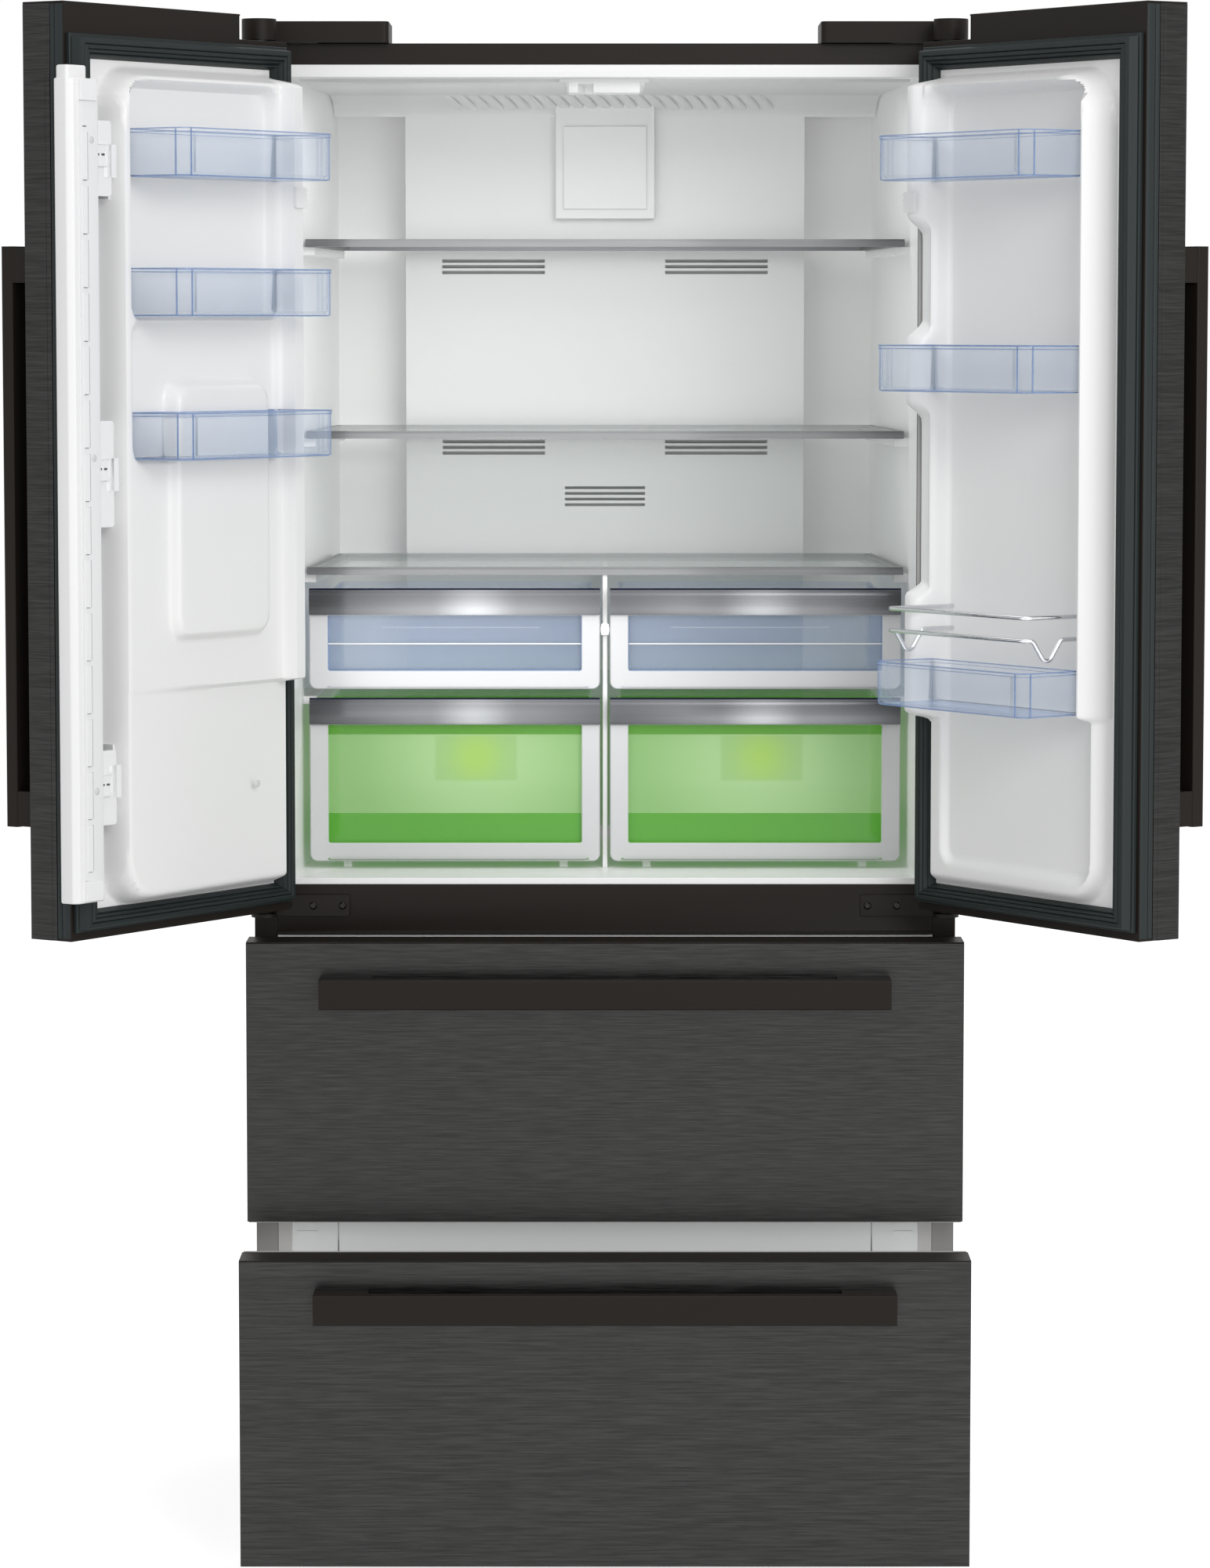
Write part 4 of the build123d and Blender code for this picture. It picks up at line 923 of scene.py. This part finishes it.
ribs = row(middle, (ceiling["ribPitch"], 0, 0), (-lean, 0.0, ceiling["ribLean"]),
           ceiling["ribs"], size=(13, last - first, 6), corner=2.9)
grown(barRow, [ribs], "ceilingRibs", "cabinet", "white_liner")

# Slats inside the air vents, and a plate behind each vent with a painted glow that lifts the shade
# in the slots
# Each vent: across, below a shelf's top, width, slats
duct = {"front": (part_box("duct_panel")[0].y - frontY) / mm, "pitch": 7.2, "slat": (9.0, 2.6),
        "slatTurn": (math.radians(-38), 0.0, 0.0), "slatDepth": 8.5, "backDepth": 14.0}
shelfTops = [heights(name + "_shelf_glass")[1] for name in ("top", "middle")]
vents = [(across, top - 21.0, 128, 3) for top in shelfTops for across in (141, -141)]
vents.append((0, shelfTops[1] - 79.5, 100, 4))
slats, backs = [], []
for across, z, width, count in vents:
    slats.append(row(cabinetPoint(across, duct["front"] + duct["slatDepth"], z),
                     (0, 0, -duct["pitch"]), duct["slatTurn"], count,
                     size=(width, *duct["slat"]), corner=0.4))
    middle = z - duct["pitch"] * (count - 1) / 2
    backs.append(row(cabinetPoint(across, duct["front"] + duct["backDepth"], middle),
                     size=(width + 4, 1.5, 9 * count), corner=1))
grown(barRow, slats, "ventSlats", "cabinet", "pale_plastic")
grown(barRow, backs, "ventBacks", "cabinet", "lit_liner", "white_liner")

# Trim seen between the freezer drawers, on both sides; the two flange sheets lie on the dark
# cabinet flange as painted light in the drawer gap, paler on the inner one
# Each piece: finish, slot, and boxes as limits across, in depth and in height
trim = {
    "paintedLightFlanges": ("flange_grey", "cabinet_paint", ((388.5, 413.6), (72.1, 72.6), (360, 446))),
    "paintedLightInnerFlanges": ("flange_pale", "cabinet_paint", ((372.5, 388), (72.15, 72.6), (360, 446))),
    "crossbarEnds": ("pale_plastic", "white_liner", ((341, 371.5), (72.1, 72.9), (363, 445)),
                     ((345, 352), (69.5, 72.5), (403, 413)),
                     ((343, 366), (70.8, 72.5), (392, 394.5))),
    "crossbarSeams": ("shelf_trim", "pale_plastic", ((316, 317.4), (72.1, 72.8), (363, 445))),
}
for name, (finish, slot, *boxes) in trim.items():
    both = [((side * x[0], side * x[1]), y, z) for side in (-1, 1) for x, y, z in boxes]
    boxPiece(name, cabinetPoint, both, "cabinet", finish, slot)
# Pale lines: under the upper drawer's face, and along the back of the lower drawer's cap
drawerLines = {"upper": ((-418, 418), (1.0, 3.5), (416.7, 417.8)),
               "lower": ((-418, 418), (-93.2, -92.4), (396, 399.6))}
for word, box in drawerLines.items():
    boxPiece(word + "DrawerLine", cabinetPoint, [box], word + "_drawer", "flange_pale",
             "pale_plastic")
print("screws, ribs and slats grown")


# Clips on the liners' hinge side, a grey strip where the right liner's edge dips, and a plug
clips = {"left": 1611.0, "right": 1605.5, "along": 66.0, "rise": 111.2}
for side, word in sides:
    place = doorAxes(side)
    turn = (0.0, 0.0, math.radians(-side * doorTurn))
    z, u, v = clips[word], clips["along"], clips["rise"]
    rows = [row(place(u, v, z), turn=turn, size=(18.5, 4, 23.5), corner=1),
            row(place(u - 9.7, v, z - 8.3), (0, 0, 5.5), turn, 4, size=(3.6, 3.6, 3.2), corner=1)]
    grown(barRow, rows, word + "LinerClips", word + "_door", "white_liner")
strip = ((53.3, 55.3), (57, 89), (1140, 1600))
boxPiece("rightLinerStrip", doorAxes(-1), [strip], "right_door", "flange_pale", "white_liner")
plug = row(doorAxes(1)(126.5, 92.0, 944), turn=(-quarter, 0.0, math.radians(-doorTurn)),
           radius=4.6, height=1.2)
grown(screwRow, [plug], "linerPlug", "left_door", "pale_plastic", "white_liner")


# The flipper
flip = {"hinge": 380.0, "side": 406.0, "front": 72.5, "end": 455.0, "back": 97.0,
        "low": doorLow + 47.5, "high": doorHigh - 85.3, "pitch": 58.0, "steps": 14,
        "arms": ((1606.5, 1688.5), (1245.5, 1362.0), (917.5, 1000.0)), "latch": 0.45}


def flipper():
    place = doorAxes(1)
    names = ("hinge", "side", "front", "end", "back", "low", "high", "pitch", "steps")
    inner, side, front, end, back, low, high, pitch, count = (flip[name] for name in names)
    section = roundedLine([(side, 80), (side + 6, front), (end - 3, front), (end, 75.5),
                           (end, 91), (end - 6, back), (side, back)], [2, 2, 2, 2, 3, 3, 3], 3)
    bar = [(insetLine(section, 1.2), low), (section, low + 1.2), (section, high - 1.2),
           (insetLine(section, 1.2), high)]
    # Nub on top that meets the guide, and clips at both ends of the rear face
    nub = roundedLine([(end - 35, 75.5), (end - 1, 75.5), (end - 1, 92.5), (end - 35, 92.5)],
                      [4] * 4)
    nubLoops = [(nub, high - 2), (nub, high + 12.5), (insetLine(nub, 1.5), high + 14)]
    shape = bmesh.new()
    for loops in (bar, nubLoops):
        addLoft(shape, [[place(u, v, z) for u, v in loop] for loop, z in loops])
    for z in (high - 24, low + 2):
        addBox(shape, place, (end - 42, end - 14), (back - 4, back + 3.5), (z, z + 22))
        addBox(shape, place, (end - 46, end - 40), (back - 4, back + 1.8), (z + 5, z + 17))
    # Arms that reach the hinges on the liner, each with a latch block between two tabs
    latches = []
    for foot, top in flip["arms"]:
        plate = roundedLine([(inner, foot), (side + 3, foot), (side + 3, top), (inner, top)],
                            [4, 0, 0, 4])
        addLoft(shape, [[place(u, v, z) for u, z in plate] for v in (84, 93)])
        z = top - (top - foot) * flip["latch"]
        latches.append(z)
        addBox(shape, place, (side - 13, side + 4), (92, 95.6), (z - 11, z + 11))
        for edge in (z - 13, z + 10.5):
            addBox(shape, place, (side - 15, side + 1), (92, 97.2), (edge, edge + 2.5))
    rounded(addPiece("flipper", shape, "flipper", "grey_plastic", replaced="flipper", smooth=35),
            0.7)
    # Steps along the rear face, the rail beside them, and the seams round them
    turn = (0.0, 0.0, math.radians(-doorTurn))
    upward = (0, 0, pitch)
    steps = [row(place(end - 23, back + 0.6, low + 60), upward, turn, count,
                 size=(8, 2.6, 51), corner=0.8),
             row(place(end - 17, back + 0.2, (low + high) / 2), turn=turn,
                 size=(5, 2.0, high - low - 50), corner=0.5)]
    grown(barRow, steps, "flipperSteps", "flipper", "grey_plastic")
    seams = [row(place(end - 28.3, back + 0.1, low + 60), upward, turn, count,
                 size=(1.8, 0.8, 51), corner=0.1),
             row(place(end - 19, back + 0.3, low + 31), upward, turn, count + 1,
                 size=(1.0, 0.6, 7), corner=0.1),
             row(place(end - 23, back + 0.1, low + 34.2), upward, turn, count + 1,
                 size=(8, 0.6, 1.0), corner=0.1)]
    along = (place(9, 0, 0) - place(0, 0, 0)) / mm
    for z in latches:
        seams.append(row(place(side - 8, 95.5, z), along, turn, 2, size=(5.5, 0.8, 2.4), corner=1))
    grown(barRow, seams, "flipperSeams", "flipper", "shelf_trim", "grey_plastic")
    # Screws sunk in its rear face
    screws = [row(place(end - 36, back - 0.6, z), turn=(-quarter, 0.0, turn[2]), radius=4.4,
                  height=1.8) for z in (high - 66, (high + low) / 2 + 38, low + 122)]
    grown(screwRow, screws, "flipperScrews", "flipper", "pale_plastic")


flipper()
print("flipper made")


# Shown CAD nodes take their finish through their own slots
for thing in nodes.values():
    for holder in thing.material_slots:
        holder.material = finishes[holder.material.name.split(".")[0]].material
print("finishes put on the CAD nodes")


# Studio
camera = {"place": (0.0, -6.23754, 1.4716), "tilt": 84.94, "lens": 155.70}
# Each lamp: place, what it looks at, size, power
lamps = {
    "leftSoftbox": ((-3.0, -4.4, 2.4), (0, 0, 1.0), (2.6, 2.6), 11),
    "rightSoftbox": ((3.0, -4.4, 2.4), (0, 0, 1.0), (2.6, 2.6), 55),
    "frontSoftbox": ((1.6, -5.8, 3.3), (0, 0, 1.2), (1.8, 1.8), 90),
    "overhead": ((0.0, -1.6, 4.6), (0, -0.2, 0.8), (3.0, 3.0), 25),
    "ceilingLamps": ((0.0, 0.02, 1.738), (0.0, 0.1, 1.0), (0.62, 0.24), 0.6),
    # Narrow and upright, so that the shut doors hold all of it
    "cavityFill": ((-0.10, -0.075, 1.34), (0.06, 0.5, 1.32), (0.44, 0.7), 0.82),
    "gapFill": ((0.0, -0.13, 0.388), (0.0, 0.0, 0.402), (0.8, 0.02), 0.075),
}
studioTones = {"diffuseWorld": 0.52, "floorGlow": 0.62}
floorCorners = [(-8, -7, 0), (8, -7, 0), (8, 9, 0), (-8, 9, 0)]


def floorPaint():
    # Pale floor that meets the white background, and still holds the object's shadow
    paint = mouldedFinish("floorPaint", (0.9, 0.9, 0.9), 0.9, peel=0.0, tone=0.004)
    plain = Wire(paint, paint.shader.outputs[0])
    seen = paint.node("LightPath", output="Is Camera Ray")
    glossy = paint.node("LightPath", output="Is Glossy Ray")
    glow = paint.node("Emission", {}, {"Strength": studioTones["floorGlow"]})
    shown = paint.node("AddShader", {}, {0: plain, 1: glow})
    either = paint.math("MAXIMUM", seen, glossy)
    surface = paint.node("MixShader", {}, {0: either, 1: plain, 2: shown})
    paint.tree.links.new(surface.socket, paint.tree.nodes["Material Output"].inputs["Surface"])
    return paint.material


def whiteWorld(scene):
    # White where it is seen, also through glass and in gloss, and dimmer as a light
    world = bpy.data.worlds.new("studioWorld")
    scene.world = world
    world.use_nodes = True
    tree = world.node_tree
    path = tree.nodes.new("ShaderNodeLightPath")
    seen = path.outputs["Is Camera Ray"]
    for ray in ("Is Glossy Ray", "Is Transmission Ray"):
        either = tree.nodes.new("ShaderNodeMath")
        either.operation = "MAXIMUM"
        tree.links.new(seen, either.inputs[0])
        tree.links.new(path.outputs[ray], either.inputs[1])
        seen = either.outputs[0]
    strength = tree.nodes.new("ShaderNodeMapRange")
    strength.inputs["To Min"].default_value = studioTones["diffuseWorld"]
    strength.inputs["To Max"].default_value = 1.0
    tree.links.new(seen, strength.inputs["Value"])
    backdrop = tree.nodes["Background"].inputs
    tree.links.new(strength.outputs[0], backdrop["Strength"])
    backdrop["Color"].default_value = (1, 1, 1, 1)


def studio():
    scene = bpy.context.scene
    scene.view_settings.view_transform = "Standard"
    data = bpy.data.cameras.new("photoCamera")
    data.sensor_fit = "HORIZONTAL"
    data.sensor_width = 36.0
    data.lens = camera["lens"]
    data.clip_end = 60.0
    eye = bpy.data.objects.new("photoCamera", data)
    eye.location = camera["place"]
    eye.rotation_euler = (math.radians(camera["tilt"]), 0, 0)
    scene.collection.objects.link(eye)
    scene.camera = eye
    for name, (place, aim, size, power) in lamps.items():
        lamp = bpy.data.lights.new(name, "AREA")
        lamp.shape = "RECTANGLE"
        lamp.size, lamp.size_y = size
        lamp.energy = power
        holder = bpy.data.objects.new(name, lamp)
        holder.location = place
        holder.rotation_euler = (Vector(aim) - Vector(place)).to_track_quat("-Z", "Y").to_euler()
        holder.visible_camera = False
        scene.collection.objects.link(holder)
    whiteWorld(scene)
    mesh = bpy.data.meshes.new("floor")
    mesh.from_pydata(floorCorners, [], [(0, 1, 2, 3)])
    floor = bpy.data.objects.new("floor", mesh)
    scene.collection.objects.link(floor)
    mesh.materials.append(floorPaint())
    print("studio ready")


studio()
